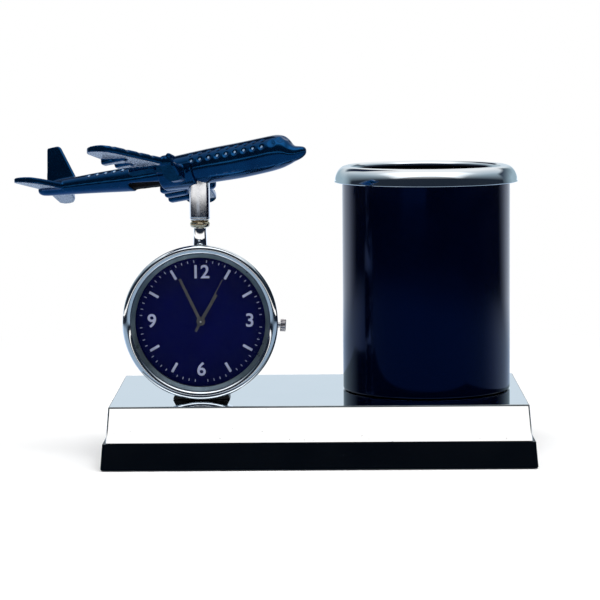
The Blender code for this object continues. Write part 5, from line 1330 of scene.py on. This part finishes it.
def pale_floor():
    """Pale floor that keeps the set's shadow and fades to plain white away from it; in reflections it glows as a
    painted room, dim in front and pale behind.
    """
    bpy.ops.object.select_all(action="DESELECT")
    bpy.ops.mesh.primitive_plane_add(size=40, location=(0, 0, 0))
    floor = named_new("pale_floor")
    material, tree, shader = finish_base("pale_floor", (0.94, 0.94, 0.94), 0.9, specular=0.1)
    glow = tree.nodes.new("ShaderNodeEmission")
    place, across, back, _ = axes(tree, "Object")
    length = tree.nodes.new("ShaderNodeVectorMath")
    length.operation = "LENGTH"
    tree.links.new(place, length.inputs[0])
    distance = length.outputs["Value"]
    toward = reckon(tree, "DIVIDE", back, distance)
    aside = reckon(tree, "DIVIDE", across, distance)
    behind = larger(tree, rising(tree, toward, 0.40, 0.70),
                    product(tree, rising(tree, toward, -0.2, 0.2), falling(tree, distance, 0.35, 0.60)))
    strip = product(tree, rising(tree, distance, 1.30, 1.45), falling(tree, distance, 2.1, 2.5),
                    rising(tree, aside, -0.62, -0.50), falling(tree, aside, -0.04, 0.02))
    floor_behind = blend(tree, falling(tree, distance, 0.35, 0.60), (0.95, 1.06, 1.22), (0.54, 0.70, 0.94))
    room = blend(tree, falling(tree, distance, 0.42, 0.64), (0.012, 0.018, 0.030), (0.32, 0.42, 0.54))
    for zone, colour in ((strip, (0.46, 0.52, 0.60)), (rising(tree, distance, 2.6, 3.0), (1.30, 1.25, 1.20)),
                         (behind, floor_behind)):
        room = blend(tree, zone, room, colour)
    tree.links.new(blend(tree, in_reflections(tree), (1, 1, 1), room), glow.inputs["Color"])
    far = larger(tree, product(tree, rising(tree, distance, 0.12, 0.45), seen_directly(tree)), in_reflections(tree))
    surface = instead(tree, far, shader, glow)
    tree.links.new(surface.outputs[0], tree.nodes["Material Output"].inputs["Surface"])
    floor.data.materials.append(material)


def lamp(name, place, target, size, power):
    """A soft square lamp aimed at a point, that polished pieces don't mirror."""
    light = bpy.data.lights.new(name, "AREA")
    light.energy = power
    light.size = size
    holder = bpy.data.objects.new(name, light)
    bpy.context.scene.collection.objects.link(holder)
    holder.location = place
    holder.rotation_euler = (Vector(target) - Vector(place)).to_track_quat("-Z", "Y").to_euler()
    holder.visible_glossy = False


def studio():
    """Floor, surroundings and three soft lamps."""
    studio_air()
    pale_floor()
    lamp("overhead_lamp", (0.10, -0.25, 1.25), (0, 0, 0.05), 0.60, 12)
    lamp("left_lamp", (-1.10, -0.55, 0.80), (0, 0, 0.07), 0.60, 6)
    lamp("right_lamp", (1.20, -0.35, 0.70), (0, 0, 0.07), 0.40, 4)


def camera():
    """The photograph's viewing angle."""
    yaw, pitch, roll = -0.009, -0.109, -0.008
    focal_pixels, picture_pixels, sensor = 2501.7, 600, 36
    forward = Vector((math.sin(yaw) * math.cos(pitch), math.cos(yaw) * math.cos(pitch), math.sin(pitch)))
    level = Vector((math.cos(yaw), -math.sin(yaw), 0))
    above = level.cross(forward)
    right = level * math.cos(roll) + above * math.sin(roll)
    up = above * math.cos(roll) - level * math.sin(roll)
    lens = bpy.data.cameras.new("viewing_camera")
    lens.sensor_width = sensor
    lens.lens = focal_pixels / picture_pixels * sensor
    lens.clip_end = 30
    viewer = bpy.data.objects.new("viewing_camera", lens)
    bpy.context.scene.collection.objects.link(viewer)
    place = Matrix.Identity(4)
    for row in range(3):
        place[row][0], place[row][1], place[row][2] = right[row], up[row], -forward[row]
    place.translation = (0.0019, -1.1157, 0.1903)
    viewer.matrix_world = place
    bpy.context.scene.camera = viewer


for make in (dress_nodes, camera, studio, plinth, bright_cover, tumbler, tumbler_ring, tumbler_nut, saddle_foot,
             bezel, flange, case, glazing, dial, dial_marks, dial_figures, hands, crown, snap_back, post, collar,
             sleeve, fuselage, wing_casting):
    make()
bpy.context.scene.view_settings.view_transform = "Standard"
